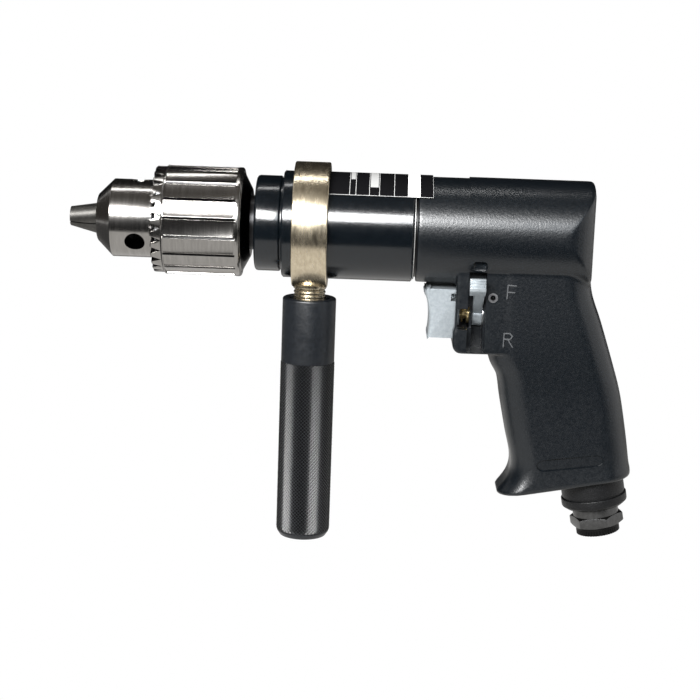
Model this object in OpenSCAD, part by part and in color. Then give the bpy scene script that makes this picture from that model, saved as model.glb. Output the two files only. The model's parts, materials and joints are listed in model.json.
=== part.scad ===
// Air drill with a keyed chuck, two planet stages, a vane motor and a side handle.
// Origin at the jaw tips on the spindle axis, X to the rear, Z up, lengths in millimetres.

/* [Chuck] */
// Radius of the three jaws together at their tips
jaw_tip_r = 3.8; // [3.4:0.1:4.4]
// Radius of one jaw's round shank
jaw_r = 4; // [3.6:0.1:4.2]
// Angle between a jaw and the spindle axis
jaw_angle = 15; // [14:0.5:16]
// Length of a jaw along the spindle axis
jaw_len = 41; // [39:0.5:42]
// Travel of a jaw along its bore
jaw_travel = 20.6; // [15:0.1:21]
// Radius of the gripped shank with the jaws as drawn
grip_r = 1; // [0.6:0.1:1.5]
// How far the jaws stand out of the chuck's nose
jaw_out = 10.7; // [8:0.1:12]
// Length of the nose cone
nose_cone_len = 6.7; // [5:0.1:9]
// Radius of the nose cone's front edge
nose_r = 9.3; // [8.5:0.1:11]
// Radius of the chuck body in front of the sleeve
chuck_r = 15.5; // [14.5:0.1:17]
// Length of the chuck body in front of the sleeve
chuck_front_len = 16.7; // [14:0.1:20]
// Radius of the holes for the key's pilot
key_hole_r = 4; // [3:0.1:4.5]
// Length of the sleeve
sleeve_len = 34.8; // [32:0.1:40]
// Radius of the sleeve
sleeve_r = 21.7; // [21.4:0.1:24]
// Number of bevel teeth on the sleeve
sleeve_teeth = 28; // [24:1:36]
// Number of flat panels on the sleeve
sleeve_panels = 18; // [12:1:20]
// Length of the chuck's rear bevel
bevel_len = 3.4; // [2:0.1:5]
// Radius of the chuck's rear face
bevel_r = 13.5; // [12:0.1:16]

/* [Spindle and gears] */
// Radius of the spindle's threaded nose
spindle_nose_r = 6.3; // [5.5:0.1:6.5]
// Radius of the spindle's collar behind the chuck
spindle_collar_r = 10.8; // [10:0.1:11.5]
// Length of the spindle's collar
spindle_collar_len = 1.7; // [1.2:0.1:3]
// Bore radius of the spindle bearings
bearing_in_r = 7.5; // [7:0.1:8]
// Outer radius of the spindle bearings
bearing_out_r = 16; // [15.5:0.1:16.4]
// Width of the spindle bearings
bearing_w = 9; // [8:0.5:10]
// Gear module
gear_module = 0.8; // [0.75:0.01:0.82]
// Face width of the planet gears
planet_w = 6.8; // [5:0.1:8]
// Radius of the planet pins
planet_pin_r = 2; // [1.5:0.1:2.4]
// Thickness of the planet carriers
carrier_t = 3; // [2.5:0.1:4]

/* [Casings] */
// Length of the nose collar
collar_len = 10; // [8:0.1:12]
// Radius of the nose collar
collar_r = 19; // [18.6:0.1:20.5]
// Radius of the gear case
case_r = 21.3; // [20.8:0.1:23]
// Length of the gear case
case_len = 51.8; // [51.5:0.1:56]
// Width of the joint groove behind the gear case
joint_gap = 1.4; // [1:0.1:2]
// Radius of the motor barrel
barrel_r = 21.2; // [20.8:0.1:23]
// Length of the motor barrel
barrel_len = 69.5; // [69:0.1:80]
// Half width of the trigger block
block_half_w = 15.2; // [14.5:0.1:16]
// Half width of the grip at its middle
grip_half_w = 15.6; // [14:0.1:18]

/* [Motor] */
// Radius of the rotor
rotor_r = 13; // [12:0.1:13.2]
// Length of the rotor
rotor_len = 47.4; // [40:0.1:48]
// Radius of the rotor's shaft
shaft_r = 5; // [4.8:0.1:5.2]
// Outer radius of the motor cylinder
cylinder_r = 17.8; // [17.6:0.1:18.1]
// How far the cylinder's bore is off the rotor's axis
cylinder_offset = 1.1; // [0.8:0.1:1.3]
// Number of vanes
vane_count = 4; // [4:1:6]
// Thickness of a vane
vane_t = 1.6; // [1:0.1:2]

/* [Side handle] */
// Width of the clamp band
band_w = 14; // [12.8:0.1:16]
// Wall of the clamp band
band_wall = 3.6; // [3:0.1:5]
// Distance from the gear case's front edge to the clamp band
band_back = 4.2; // [2:0.1:10]
// Radius of the neck between the band and the handle
neck_r = 6.4; // [6:0.1:6.4]
// Radius of the handle
handle_r = 11; // [10.5:0.1:13]
// Length of the handle
handle_len = 99; // [80:1:120]
// Length of the handle's smooth part
handle_smooth_len = 26; // [15:1:40]
// Radius of the handle's stud
stud_r = 5; // [4:0.1:5]
// Gap from the gear case down to the handle's rim
handle_drop = 8; // [7:0.1:10]

/* [Throttle] */
// Height of the trigger
trigger_h = 20.8; // [18:0.1:21]
// Depth of the trigger from front to back
trigger_d = 12.4; // [11:0.1:13]
// Half width of the trigger
trigger_half_w = 9; // [7:0.1:9.5]
// Travel of the trigger
trigger_travel = 3.5; // [3:0.1:4]
// Radius of the throttle stem
stem_r = 2.2; // [2:0.1:2.4]
// Distance from the spindle axis down to the throttle stem
stem_drop = 33.5; // [33:0.1:34]
// Wire radius of the trigger's return spring
wire_r = 0.4; // [0.3:0.05:0.45]
// Number of turns of the trigger's return spring
spring_turns = 3.5; // [3:0.5:4]
// Distance from the lever's axis to the middle of its thumb pad
lever_reach = 24.4; // [23.5:0.1:26]
// Angle of the lever above level at rest
lever_angle = 35; // [32:1:36]

/* [Air inlet] */
// Lean of the inlet from upright
inlet_lean = 10.5; // [8:0.5:13]
// Radius of the exhaust deflector's flange
deflector_r = 13.3; // [13:0.1:15]
// Height of the deflector's flange
deflector_h = 3.4; // [2.5:0.1:5]
// Hexagon of the inlet bushing across its flats
hex_af = 19; // [18:0.5:22]
// Length of the hexagon
hex_len = 4.7; // [3.5:0.1:8]
// Radius of the inlet's thread
inlet_thread_r = 5.6; // [5:0.1:6]
// Length of the inlet's thread
inlet_thread_len = 12; // [9:0.5:14]
// Radius of the dust plug's head
plug_r = 8.8; // [8:0.1:9.4]
// Height of the dust plug's head
plug_h = 3.1; // [2.5:0.1:5]

/* [Hidden] */
// Rounds and clearances
$fn = 96;
over = 1;
run_gap = 0.06;
fit_gap = 0.02;
free_gap = 0.3;
edge = 0.6;

// Chuck stations along the spindle axis
shoulder_x = jaw_out + nose_cone_len;
sleeve_x = shoulder_x + chuck_front_len;
sleeve_end = sleeve_x + sleeve_len;
bevel_end = sleeve_end + bevel_len;
jaw_axis_r = jaw_tip_r - jaw_r / cos(jaw_angle);
jaw_turn = 61;
jaw_gap = 0.35;
key_hole_back = 9.9;
jaw_count = 3;
third = 360 / jaw_count;
sleeve_wall = 1.7;
sleeve_bore = sleeve_r - sleeve_wall;
sleeve_lip = 1.7;
nut_x = sleeve_x + sleeve_lip;
nut_len = 5.4;
nut_end = nut_x + nut_len;
nut_r = sleeve_bore - 0.5 * sleeve_wall;
nut_split = 0.6;
nut_groove_r = jaw_outer(nut_x) - free_gap;
jaw_back_r = sleeve_bore - free_gap - jaw_travel * sin(jaw_angle);
tooth_len = 3.7;
tooth_gap = 2.9;
tooth_turn = 3.2;
panel_front = 5;
panel_rear = 2;
panel_depth = 0.6;
panel_fill_share = 0.84;
panel_turn = 11.5;
shank_bore_wall = 0.5;
shank_bore_r = spindle_nose_r + shank_bore_wall;
shank_bore_past = 6.5;
shank_bore_end = nut_end + shank_bore_past;
chuck_wall = 5;
nose_end_x = shank_bore_end + chuck_wall;
screw_r = 3;
screw_head_r = 4.8;
screw_head_h = 3.5;
screw_len = 14;
screw_slot = 1.2;

// Gear stations along the spindle axis
spindle_collar_end = bevel_end + spindle_collar_len;
collar_x = spindle_collar_end + 0.7 * free_gap;
collar_wall = 1.8;
front_bearing_x = collar_x + collar_wall;
front_bearing_end = front_bearing_x + bearing_w;
collar_end = collar_x + collar_len;
collar_groove = 0.8;
collar_groove_r = collar_r - collar_groove;
case_x = collar_end + collar_groove;
case_end = case_x + case_len;
gear_gap = 0.4;
step_t = 2;
plate_room = 8;
ring_end = case_end - plate_room;
carrier_planet_x = ring_end - 3 * gear_gap - planet_w;
carrier_x = carrier_planet_x - gear_gap - carrier_t;
spindle_planet_x = carrier_x - 1.5 * gear_gap - planet_w;
spindle_carrier_x = spindle_planet_x - gear_gap - carrier_t;
rear_bearing_end = spindle_carrier_x - 1.5 * gear_gap;
rear_bearing_x = rear_bearing_end - bearing_w;
ring_x = rear_bearing_end + step_t;

// Gear sizes
pressure = 25;
addendum = 0.8 * gear_module;
dedendum = 1.2 * gear_module;
backlash = 0.17 * gear_module;
planet_count = 3;
sun_teeth = 9;
planet_teeth = 15;
ring_teeth = sun_teeth + 2 * planet_teeth;
centre_r = gear_module * (sun_teeth + planet_teeth) / 2;
ring_pitch_r = gear_module * ring_teeth / 2;
ring_wall = 1.9;
ring_out_r = ring_pitch_r + dedendum + ring_wall;
carrier_r = ring_pitch_r - addendum - 2.5 * free_gap;
pilot_r = 2;
flank_steps = 4;

// Bearing sizes
ball_r = 2.1;
ball_count = 9;
ball_path_r = (bearing_in_r + bearing_out_r) / 2;
race_off = 1.85;
inner_race_r = ball_path_r - race_off;
outer_race_r = ball_path_r + race_off;
shoulder_h = 1.5;
spindle_shoulder_r = bearing_in_r + shoulder_h;
seal_h = 4.5;
seal_r = bearing_in_r + seal_h;

// Casing stations
barrel_x = case_end + joint_gap;
barrel_end = barrel_x + barrel_len;
collar_spigot_wall = 1.5;
collar_spigot_r = bearing_out_r + collar_spigot_wall;
collar_spigot_len = 7;
collar_spigot_end = case_x + collar_spigot_len;
spigot_len = 6.5;
spigot_x = case_end - spigot_len;
spigot_step = 0.7;
spigot_r = ring_out_r + spigot_step;
joint_groove_depth = 0.9;
joint_ring_r = barrel_r - joint_groove_depth;
rear_round = 12;

// Motor stations
plate_t = 7;
plate_wall = 1;
plate_in = 1;
cylinder_x = case_end - plate_in;
rotor_play = 0.3;
cylinder_len = rotor_len + 2 * rotor_play;
rotor_x = cylinder_x + rotor_play;
rear_plate_x = cylinder_x + cylinder_len;
motor_end = rear_plate_x + plate_t;
rotor_clear = 0.1;
cylinder_bore_r = rotor_r + cylinder_offset + rotor_clear;
rotor_bearing_r = 11;
rotor_bearing_w = plate_t - plate_wall;
dowel_r = 1.25;
dowel_z = (cylinder_r + cylinder_bore_r - cylinder_offset) / 2;
vane_root_r = 0.5 * rotor_r;
port_w = 3;
port_angle = 40;
motor_bore_r = cylinder_r + fit_gap;
motor_relief_r = 12;
motor_relief = 5;

// Label
label_t = 0.15;
label_low_angle = 40;
label_high_angle = 140;
label_margin_angle = 0.4;
label_end = 7.2;
label_margin = 0.4;
pocket_len = 20.2;
pocket_depth = 0.5;

// Side handle
band_x = case_x + band_back;
band_mid_x = band_x + band_w / 2;
band_in_r = case_r + run_gap;
band_out_r = band_in_r + band_wall;
handle_top = -case_r - handle_drop;
handle_socket_gap = 2;
handle_socket_r = neck_r + handle_socket_gap;
handle_socket = 3;
neck_bottom = handle_top - handle_socket + 4 * free_gap;
handle_travel = 3;
stud_in_handle = 30;
pad_h = 2.4;
pad_top = -case_r - run_gap;
thread_pitch = 1.5;
thread_depth = 0.4;
knurl_depth = 0.35;
chamfer = 1.2;

// Trigger, stem and lever
block_back = 16.2;
block_x = barrel_x + block_back;
trigger_in = 0.2;
trigger_back = block_x + trigger_in;
trigger_front = trigger_back - trigger_d;
trigger_rise = 12;
trigger_top = trigger_rise - stem_drop;
trigger_bottom = trigger_top - trigger_h;
trigger_dip = 2;
notch = 3.6;
trigger_chord_share = 0.42;
trigger_tongue = 1.9;
tongue_half_h = 4.1;
pocket_gap = 0.4;
pocket_end = trigger_back + trigger_tongue + trigger_travel + free_gap;
web_t = 0.8;
slot_x = pocket_end + web_t;
lever_w = 4.2;
slot_gap = 0.25;
slot_end = slot_x + lever_w + 2 * slot_gap;
slot_half_h = 13.5;
slot_rise = 4;
slot_side = 1.2;
wall_in = 9.8;
bush_wall = 0.9;
bush_sleeve_r = stem_r + bush_wall;
lever_x = slot_x + slot_gap;
lever_end = lever_x + lever_w;
hub_r = 4.8;
pad_w = 6.2;
pad_len = 5.6;
pad_t = 5;
arm_t = 4;
valve_r = 6;
valve_len = 15;
valve_end = slot_end + valve_len;
chamber_r = 7;
chamber_len = 20;
seat_len = 2.2;
seat_gap = 1.6;
seat_bore_r = stem_r + seat_gap;
poppet_r = 4.8;
poppet_t = 3;
bush_flange = 0.8;
spring_gap_r = 1.1;
spring_r = stem_r + spring_gap_r;
bush_r = spring_r + wire_r + run_gap;
spring_pocket = 4;
spring_x = trigger_back + trigger_tongue - spring_pocket;
spring_end = pocket_end - bush_flange;
spring_rings = 8;
spring_sides = 6;
pin_r = 1.9;
pin_hole_r = 1.05;
pin_len = 10;
pin_back = 3.1;
pin_x = slot_end + pin_back;
pin_rise = 9;
pin_z = pin_rise - stem_drop;
block_drop = 14.8;
block_bottom = -stem_drop - block_drop;
block_round = 3;
block_lower_out = 0.6;
window_low = 4.1;
window_high = 4.2;

// Grip: front and rear places and half width of each slice
grip_back = 41.7;
grip_x = barrel_end - grip_back;
grip_span = 63;
grip_h = 104.5;
grip_round = 10;
slice_t = 0.2;
grip_shares = [
  [0.000, 0.153, 0.663, 0.153, 1.00],
  [0.040, 0.478, 0.749, 0.325, 1.00],
  [0.116, 0.550, 0.841, 0.483, 0.98],
  [0.133, 0.646, 0.898, 0.603, 0.96],
  [0.184, 0.775, 0.947, 0.756, 0.98],
  [0.220, 0.880, 0.977, 0.871, 1.00],
  [0.141, 1.012, 0.992, 0.921, 1.04]
];

// Inlet, with its own axis and its zero at the top of the deflector's flange
inlet_back = 48.9;
inlet_x = grip_x + inlet_back;
inlet_drop = 1.55;
inlet_z = -grip_h - inlet_drop;
deflector_lip = 0.5;
deflector_neck_r = deflector_r - deflector_lip;
deflector_up = 13.5;
deflector_wall = 1.5;
deflector_floor = 4.8;
deflector_bevel = 1.8;
deflector_foot_r = deflector_r - deflector_bevel;
exhaust_holes = 8;
exhaust_hole_r = 0.7;
bushing_r = 8;
bushing_up = 28;
bushing_neck_r = 9.3;
hex_drop = 3.5;
hex_turn = 46;
hex_top = -deflector_floor - hex_drop;
hex_bottom = hex_top - hex_len;
plug_spigot_wall = 1;
plug_spigot_r = inlet_thread_r + plug_spigot_wall;
plug_spigot_len = 3.6;
plug_ribs = 48;
air_r = 4.2;
bushing_air_r = 4.9;
seal_low = 18;
seal_wire_r = 0.9;
screen_t = 1;
screen_hole_r = 0.8;
duct_r = 2.8;
duct_side = 10.6;
duct_x = 5;
duct_tilt = 7;

// Radius of a jaw's outer edge at a station
function jaw_outer(x) = jaw_tip_r + x * tan(jaw_angle);

// Involute angle in degrees
function involute(a) = tan(a) * 180 / PI - a;

// Half angle of a gear tooth at a radius, thinned at the pitch circle
function tooth_half(teeth, thin, r) =
  let (pitch_r = gear_module * teeth / 2, base_r = pitch_r * cos(pressure))
  90 / teeth - thin / pitch_r * 180 / PI + involute(pressure)
  - involute(acos(min(1, base_r / max(r, base_r))));

// Outline of a gear whose first tooth points along the first axis
function gear_points(teeth, tip_r, root_r, thin) =
  let (base_r = gear_module * teeth / 2 * cos(pressure),
       low_r = max(base_r, root_r),
       radii = [for (i = [0:flank_steps]) low_r + (tip_r - low_r) * i / flank_steps],
       right = [for (r = radii) [r, -tooth_half(teeth, thin, r)]],
       left = [for (i = [flank_steps:-1:0]) [radii[i], tooth_half(teeth, thin, radii[i])]],
       foot = tooth_half(teeth, thin, low_r),
       tooth = root_r < base_r
         ? concat([[root_r, -foot]], right, left, [[root_r, foot]])
         : concat(right, left))
  [for (k = [0:teeth - 1]) for (p = tooth)
    p[0] * [cos(p[1] + 360 * k / teeth), sin(p[1] + 360 * k / teeth)]];

// Points of one slice of the grip: front, rear and half width
function slice_front(s) = [grip_x + s[0] * grip_span, -s[1] * grip_h];
function slice_rear(s) = [grip_x + s[2] * grip_span, -s[3] * grip_h];

// Round bar along X between two stations
module bar(from, to, r) {
  translate([from, 0, 0]) rotate([0, 90, 0]) cylinder(h = to - from, r = r);
}

// Ring along X between two stations
module ring(from, to, outer, inner) {
  difference() {
    bar(from, to, outer);
    bar(from - over, to + over, inner);
  }
}

// Solid turned about the spindle axis from points of radius and station
module turned(points) {
  rotate([0, 90, 0]) rotate_extrude() polygon(points);
}

// Extrusion along X of an outline drawn in Y and Z
module along_x(from, to) {
  translate([from, 0, 0]) rotate([90, 0, 90]) linear_extrude(height = to - from) children();
}

// Copies at equal angles about the spindle axis
module around(count, start = 0) {
  for (k = [0:count - 1]) rotate([start + 360 * k / count, 0, 0]) children();
}

// Places children on the throttle stem's axis
module on_stem() {
  translate([0, 0, -stem_drop]) children();
}

// Places children on the inlet's axis, with Z up along it
module on_inlet() {
  translate([inlet_x, 0, inlet_z]) rotate([0, -inlet_lean, 0]) children();
}

// Round bar on the inlet's axis between two heights
module inlet_bar(low, high, r) {
  on_inlet() translate([0, 0, low]) cylinder(h = high - low, r = r);
}

// Gear wheel along X with a tooth pointing up
module wheel(from, to, teeth) {
  pitch_r = gear_module * teeth / 2;
  along_x(from, to) rotate(90)
    polygon(gear_points(teeth, pitch_r + addendum, pitch_r - dedendum, backlash / 2));
}

// Round bar on a jaw's axis
module jaw_bar(r, len) {
  translate([0, 0, jaw_axis_r]) rotate([0, 90 - jaw_angle, 0])
    translate([0, 0, -2 * jaw_r]) cylinder(h = len + 2 * jaw_r, r = r);
}

// One gripping jaw: a round shank with two gripping faces
module jaw(k) {
  face = 90 - third / 2;
  half = 2 * jaw_r;
  color("silver") rotate([jaw_turn + third * k, 0, 0]) intersection() {
    jaw_bar(jaw_r, 1.5 * jaw_len);
    ring(0, jaw_len, jaw_back_r, grip_r);
    along_x(-over, jaw_len + over) polygon([
      [0, jaw_gap], [half, jaw_gap + half * tan(face)], [half, sleeve_r],
      [-half, sleeve_r], [-half, jaw_gap + half * tan(face)]
    ]);
  }
}

module chuck_body() {
  land_r = sleeve_bore - run_gap;
  bore_len = (jaw_len + jaw_travel) / cos(jaw_angle) + jaw_r;
  color("gray") difference() {
    turned([
      [0, jaw_out], [nose_r - edge, jaw_out], [nose_r, jaw_out + edge],
      [chuck_r, shoulder_x], [chuck_r, nut_x - free_gap],
      [nut_groove_r, nut_x - free_gap], [nut_groove_r, nut_end + free_gap],
      [land_r, nut_end + free_gap], [land_r, sleeve_end],
      [bevel_r, bevel_end], [0, bevel_end]
    ]);
    around(jaw_count, jaw_turn) jaw_bar(jaw_r + run_gap, bore_len);
    around(jaw_count, jaw_turn + third / 2)
      translate([shoulder_x + key_hole_back, 0, nose_r])
        cylinder(h = chuck_r, r = key_hole_r);
    bar(jaw_out - over, shank_bore_end, shank_bore_r);
    bar(shank_bore_end - over, nose_end_x + over, screw_r + run_gap);
    bar(nose_end_x, bevel_end + over, spindle_nose_r + fit_gap);
  }
}

module chuck_sleeve() {
  lip_r = chuck_r + free_gap;
  flat = sleeve_r - panel_depth;
  mouth = tooth_gap / 2 * (tooth_len + over) / tooth_len;
  panel_w = 2 * flat * tan(panel_fill_share * 180 / sleeve_panels);
  color("silver") difference() {
    turned([
      [lip_r, sleeve_x], [sleeve_r - edge, sleeve_x],
      [sleeve_r - edge, sleeve_x + tooth_len + edge], [sleeve_r, sleeve_x + tooth_len + 2 * edge],
      [sleeve_r, sleeve_end - edge], [sleeve_r - edge, sleeve_end],
      [sleeve_bore, sleeve_end], [sleeve_bore, nut_end],
      [nut_r, nut_end], [nut_r, nut_x], [lip_r, nut_x]
    ]);
    around(sleeve_teeth, tooth_turn) translate([sleeve_x, 0, chuck_r - over])
      linear_extrude(height = sleeve_r - chuck_r + 2 * over)
        polygon([[-over, mouth], [tooth_len, 0], [-over, -mouth]]);
    around(sleeve_panels, panel_turn) translate([sleeve_x + panel_front, -panel_w / 2, flat])
      cube([sleeve_len - panel_front - panel_rear, panel_w, panel_depth + over]);
  }
}

// Split nut whose cone thread drives the jaws
module jaw_nut() {
  color("dimgray") difference() {
    turned([
      [jaw_outer(nut_x) + free_gap, nut_x], [nut_r - fit_gap, nut_x],
      [nut_r - fit_gap, nut_end], [jaw_outer(nut_end) + free_gap, nut_end]
    ]);
    translate([nut_x - over, -sleeve_r, -nut_split / 2])
      cube([nut_len + 2 * over, 2 * sleeve_r, nut_split]);
  }
}

module chuck_screw() {
  head_x = shank_bore_end - screw_head_h;
  color("dimgray") difference() {
    union() {
      bar(head_x, shank_bore_end, screw_head_r);
      bar(head_x, shank_bore_end + screw_len, screw_r);
    }
    translate([head_x - over, -sleeve_r, -screw_slot / 2])
      cube([screw_head_h / 2 + over, 2 * sleeve_r, screw_slot]);
  }
}

// Output spindle with the second carrier at its rear end
module spindle() {
  carrier_end = spindle_carrier_x + carrier_t;
  color("dimgray") difference() {
    turned([
      [0, nose_end_x + free_gap], [spindle_nose_r, nose_end_x + free_gap], [spindle_nose_r, bevel_end],
      [spindle_collar_r, bevel_end], [spindle_collar_r, spindle_collar_end],
      [bearing_in_r, spindle_collar_end], [bearing_in_r, front_bearing_end],
      [spindle_shoulder_r, front_bearing_end], [spindle_shoulder_r, rear_bearing_x],
      [bearing_in_r, rear_bearing_x], [bearing_in_r, spindle_carrier_x],
      [carrier_r, spindle_carrier_x], [carrier_r, carrier_end], [0, carrier_end]
    ]);
    bar(nose_end_x - over, shank_bore_end + screw_len + over, screw_r + fit_gap);
    bar(spindle_carrier_x, carrier_end + over, pilot_r + run_gap);
    around(planet_count) translate([0, 0, centre_r])
      bar(spindle_carrier_x - over, carrier_end + over, planet_pin_r + fit_gap);
  }
}

module planet_pins(from, to) {
  color("silver") around(planet_count) translate([0, 0, centre_r]) bar(from, to, planet_pin_r);
}

module planet(from, k) {
  color("goldenrod") rotate([third * k, 0, 0]) translate([0, 0, centre_r]) difference() {
    wheel(from, from + planet_w, planet_teeth);
    bar(from - over, from + planet_w + over, planet_pin_r + run_gap);
  }
}

// First carrier with the second sun gear in front of it
module carrier() {
  color("dimgray") difference() {
    union() {
      bar(carrier_x, carrier_x + carrier_t, carrier_r);
      wheel(spindle_planet_x, carrier_x, sun_teeth);
      bar(spindle_carrier_x + gear_gap, spindle_planet_x, pilot_r);
    }
    around(planet_count) translate([0, 0, centre_r])
      bar(carrier_x - over, carrier_x + carrier_t + over, planet_pin_r + fit_gap);
  }
}

module ring_gear() {
  color("slategray") difference() {
    bar(ring_x, ring_end, ring_out_r - fit_gap);
    along_x(ring_x - over, ring_end + over) rotate(90)
      polygon(gear_points(ring_teeth, ring_pitch_r + dedendum, ring_pitch_r - addendum, -backlash / 2));
  }
}

// Groove that the balls run in
module ball_groove(x) {
  translate([x + bearing_w / 2, 0, 0]) rotate([0, 90, 0]) rotate_extrude()
    translate([ball_path_r, 0]) circle(r = ball_r + run_gap);
}

module bearing_outer(x) {
  color("silver") difference() {
    ring(x, x + bearing_w, bearing_out_r - fit_gap, outer_race_r);
    ball_groove(x);
  }
}

module bearing_inner(x) {
  color("silver") difference() {
    ring(x, x + bearing_w, inner_race_r, bearing_in_r + fit_gap);
    ball_groove(x);
  }
}

module bearing_balls(x) {
  color("white") around(ball_count) translate([x + bearing_w / 2, 0, ball_path_r]) sphere(r = ball_r);
}

module bearing_spacer() {
  color("gray") ring(front_bearing_end, rear_bearing_x, bearing_out_r - fit_gap, outer_race_r);
}

module grease_seal() {
  color("black")
    ring(collar_x + fit_gap, front_bearing_x - fit_gap, seal_r - fit_gap, bearing_in_r + run_gap);
}

module nose_collar() {
  spigot = collar_spigot_r - fit_gap;
  color("#202226") turned([
    [seal_r, collar_x], [collar_r - chamfer, collar_x], [collar_r, collar_x + chamfer],
    [collar_r, collar_end - edge], [collar_r - edge, collar_end], [collar_groove_r, collar_end],
    [collar_groove_r, case_x], [spigot, case_x], [spigot, collar_spigot_end],
    [bearing_out_r, collar_spigot_end], [bearing_out_r, front_bearing_x], [seal_r, front_bearing_x]
  ]);
}

// Part of a ring about the spindle axis between two angles above the near side
module sector(from, to, outer, inner, low, high) {
  rotate([0, 90, 0]) rotate([0, 0, 270 - high]) rotate_extrude(angle = high - low)
    polygon([[inner, from], [outer, from], [outer, to], [inner, to]]);
}

module gear_case() {
  step_r = carrier_r + free_gap;
  color("#202226") difference() {
    turned([
      [collar_spigot_r, case_x], [case_r - edge, case_x], [case_r, case_x + edge],
      [case_r, case_end - edge], [case_r - edge, case_end],
      [spigot_r, case_end], [spigot_r, spigot_x], [ring_out_r, spigot_x], [ring_out_r, ring_x],
      [step_r, ring_x], [step_r, rear_bearing_end], [bearing_out_r, rear_bearing_end],
      [bearing_out_r, collar_spigot_end], [collar_spigot_r, collar_spigot_end]
    ]);
    sector(case_x + edge, case_end + over,
      case_r + over, case_r - label_t, label_low_angle, label_high_angle);
  }
}

module joint_ring() {
  color("gray") ring(case_end, barrel_x, joint_ring_r, spigot_r);
}

// Sticker in two lengths, on the gear case and on the barrel's shallow pocket
module data_plate() {
  floor_r = barrel_r - pocket_depth;
  low = label_low_angle + label_margin_angle;
  high = label_high_angle - label_margin_angle;
  color("black") {
    sector(case_x + edge + label_margin, case_end - label_margin,
      case_r - fit_gap, case_r - label_t, low, high);
    sector(barrel_x + label_margin, barrel_x + label_end, floor_r + label_t, floor_r, low, high);
  }
}

// Outline drawn in X and Z, as thick as twice a half width
module side(half) {
  rotate([90, 0, 0]) linear_extrude(height = 2 * half, center = true) children();
}

// One thin slice of the grip with round corners
module grip_slice(s) {
  front = slice_front(s);
  rear = slice_rear(s);
  run = rear - front;
  slope = atan2(run[1], run[0]);
  half = s[4] * grip_half_w - grip_round;
  for (end = [0, 1], y = [-half, half])
    translate([front[0], 0, front[1]]) rotate([0, -slope, 0])
      translate([end ? norm(run) - grip_round : grip_round, y, 0])
        cylinder(h = slice_t, r = grip_round, center = true, $fn = 32);
}

// Pistol grip as a row of blended slices
module grip() {
  for (i = [0:len(grip_shares) - 2]) hull() {
    grip_slice(grip_shares[i]);
    grip_slice(grip_shares[i + 1]);
  }
}

// Block behind the trigger, with a round front corner below
module trigger_block() {
  lower_x = block_x - block_lower_out;
  back = grip_x + grip_round;
  side(block_half_w) {
    polygon([
      [block_x, 0], [block_x, -stem_drop - window_low], [lower_x, -stem_drop - window_low],
      [lower_x, block_bottom + block_round], [lower_x + block_round, block_bottom],
      [back, block_bottom], [back, 0]
    ]);
    translate([lower_x + block_round, block_bottom + block_round]) circle(r = block_round);
  }
}

// Room for the trigger, its window, the lever and the valves
module throttle_cuts() {
  half = trigger_half_w + pocket_gap;
  front = block_x - block_lower_out - over;
  window_x = trigger_back + edge * 2;
  translate([front, -half, trigger_bottom - pocket_gap])
    cube([pocket_end - front, 2 * half, trigger_h + 2 * pocket_gap]);
  on_stem() {
    translate([window_x, -block_half_w - over, -window_low])
      cube([slot_x - window_x, block_half_w, window_low + window_high]);
    translate([slot_x, -block_half_w - over, -slot_half_h])
      cube([slot_end - slot_x, block_half_w + over, 2 * slot_half_h]);
    translate([slot_x - slot_side, -block_half_w - over, -slot_half_h])
      cube([slot_end - slot_x + 2 * slot_side, block_half_w + over - wall_in, 2 * slot_half_h + slot_rise]);
    bar(slot_x, slot_end, hub_r + free_gap);
    bar(pocket_end - over, slot_x + over, bush_sleeve_r);
    bar(slot_end - over, valve_end + over, valve_r + run_gap);
    bar(valve_end, valve_end + chamber_len, chamber_r);
  }
  translate([pin_x, -block_half_w + pin_len, pin_z]) rotate([90, 0, 0])
    cylinder(h = pin_len + over, r = pin_r + fit_gap);
  for (y = [-1, 1])
    translate([(slot_end + valve_end) / 2, y * valve_r / 2, -stem_drop])
      cylinder(h = stem_drop - cylinder_bore_r, r = port_w / 2);
}

// Bores for the inlet, the deflector and the exhaust
module inlet_cuts() {
  inlet_bar(0, deflector_up + fit_gap, deflector_neck_r + fit_gap);
  inlet_bar(deflector_up, bushing_up + screen_t, bushing_r + fit_gap);
  inlet_bar(bushing_up, (-inlet_z - stem_drop) / cos(inlet_lean), air_r);
  for (y = [-1, 1])
    on_inlet() translate([-duct_x, y * duct_side, deflector_up - over]) rotate([0, -duct_tilt, 0])
      cylinder(h = -inlet_z - motor_bore_r - deflector_up + 2 * duct_r, r = duct_r);
}

// Plan of the barrel with its rear corners rounded
module barrel_plan() {
  round_x = barrel_end - rear_round;
  half = barrel_r - rear_round;
  linear_extrude(height = 2 * (barrel_r + over), center = true) {
    translate([barrel_x - over, -barrel_r - over]) square([round_x - barrel_x + over, 2 * (barrel_r + over)]);
    translate([round_x - over, -half]) square([rear_round + 2 * over, 2 * half]);
    for (y = [-half, half]) translate([round_x, y]) circle(r = rear_round);
  }
}

module motor_housing() {
  color("#26282c") difference() {
    union() {
      intersection() {
        turned([
          [0, barrel_x], [barrel_r - edge, barrel_x], [barrel_r, barrel_x + edge],
          [barrel_r, barrel_end - chamfer], [barrel_r - chamfer, barrel_end], [0, barrel_end]
        ]);
        barrel_plan();
      }
      bar(spigot_x, barrel_x, spigot_r - fit_gap);
      trigger_block();
      grip();
    }
    bar(spigot_x - over, motor_end, motor_bore_r);
    bar(motor_end - over, motor_end + motor_relief, motor_relief_r);
    sector(barrel_x - over, barrel_x + pocket_len,
      barrel_r + over, barrel_r - pocket_depth, label_low_angle, label_high_angle);
    throttle_cuts();
    inlet_cuts();
  }
}

// Hollow spring pin beside the lever
module roll_pin() {
  color("silver") translate([pin_x, -block_half_w + pin_len, pin_z]) rotate([90, 0, 0]) difference() {
    cylinder(h = pin_len, r = pin_r);
    translate([0, 0, -over]) cylinder(h = pin_len + 2 * over, r = pin_hole_r);
  }
}

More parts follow.
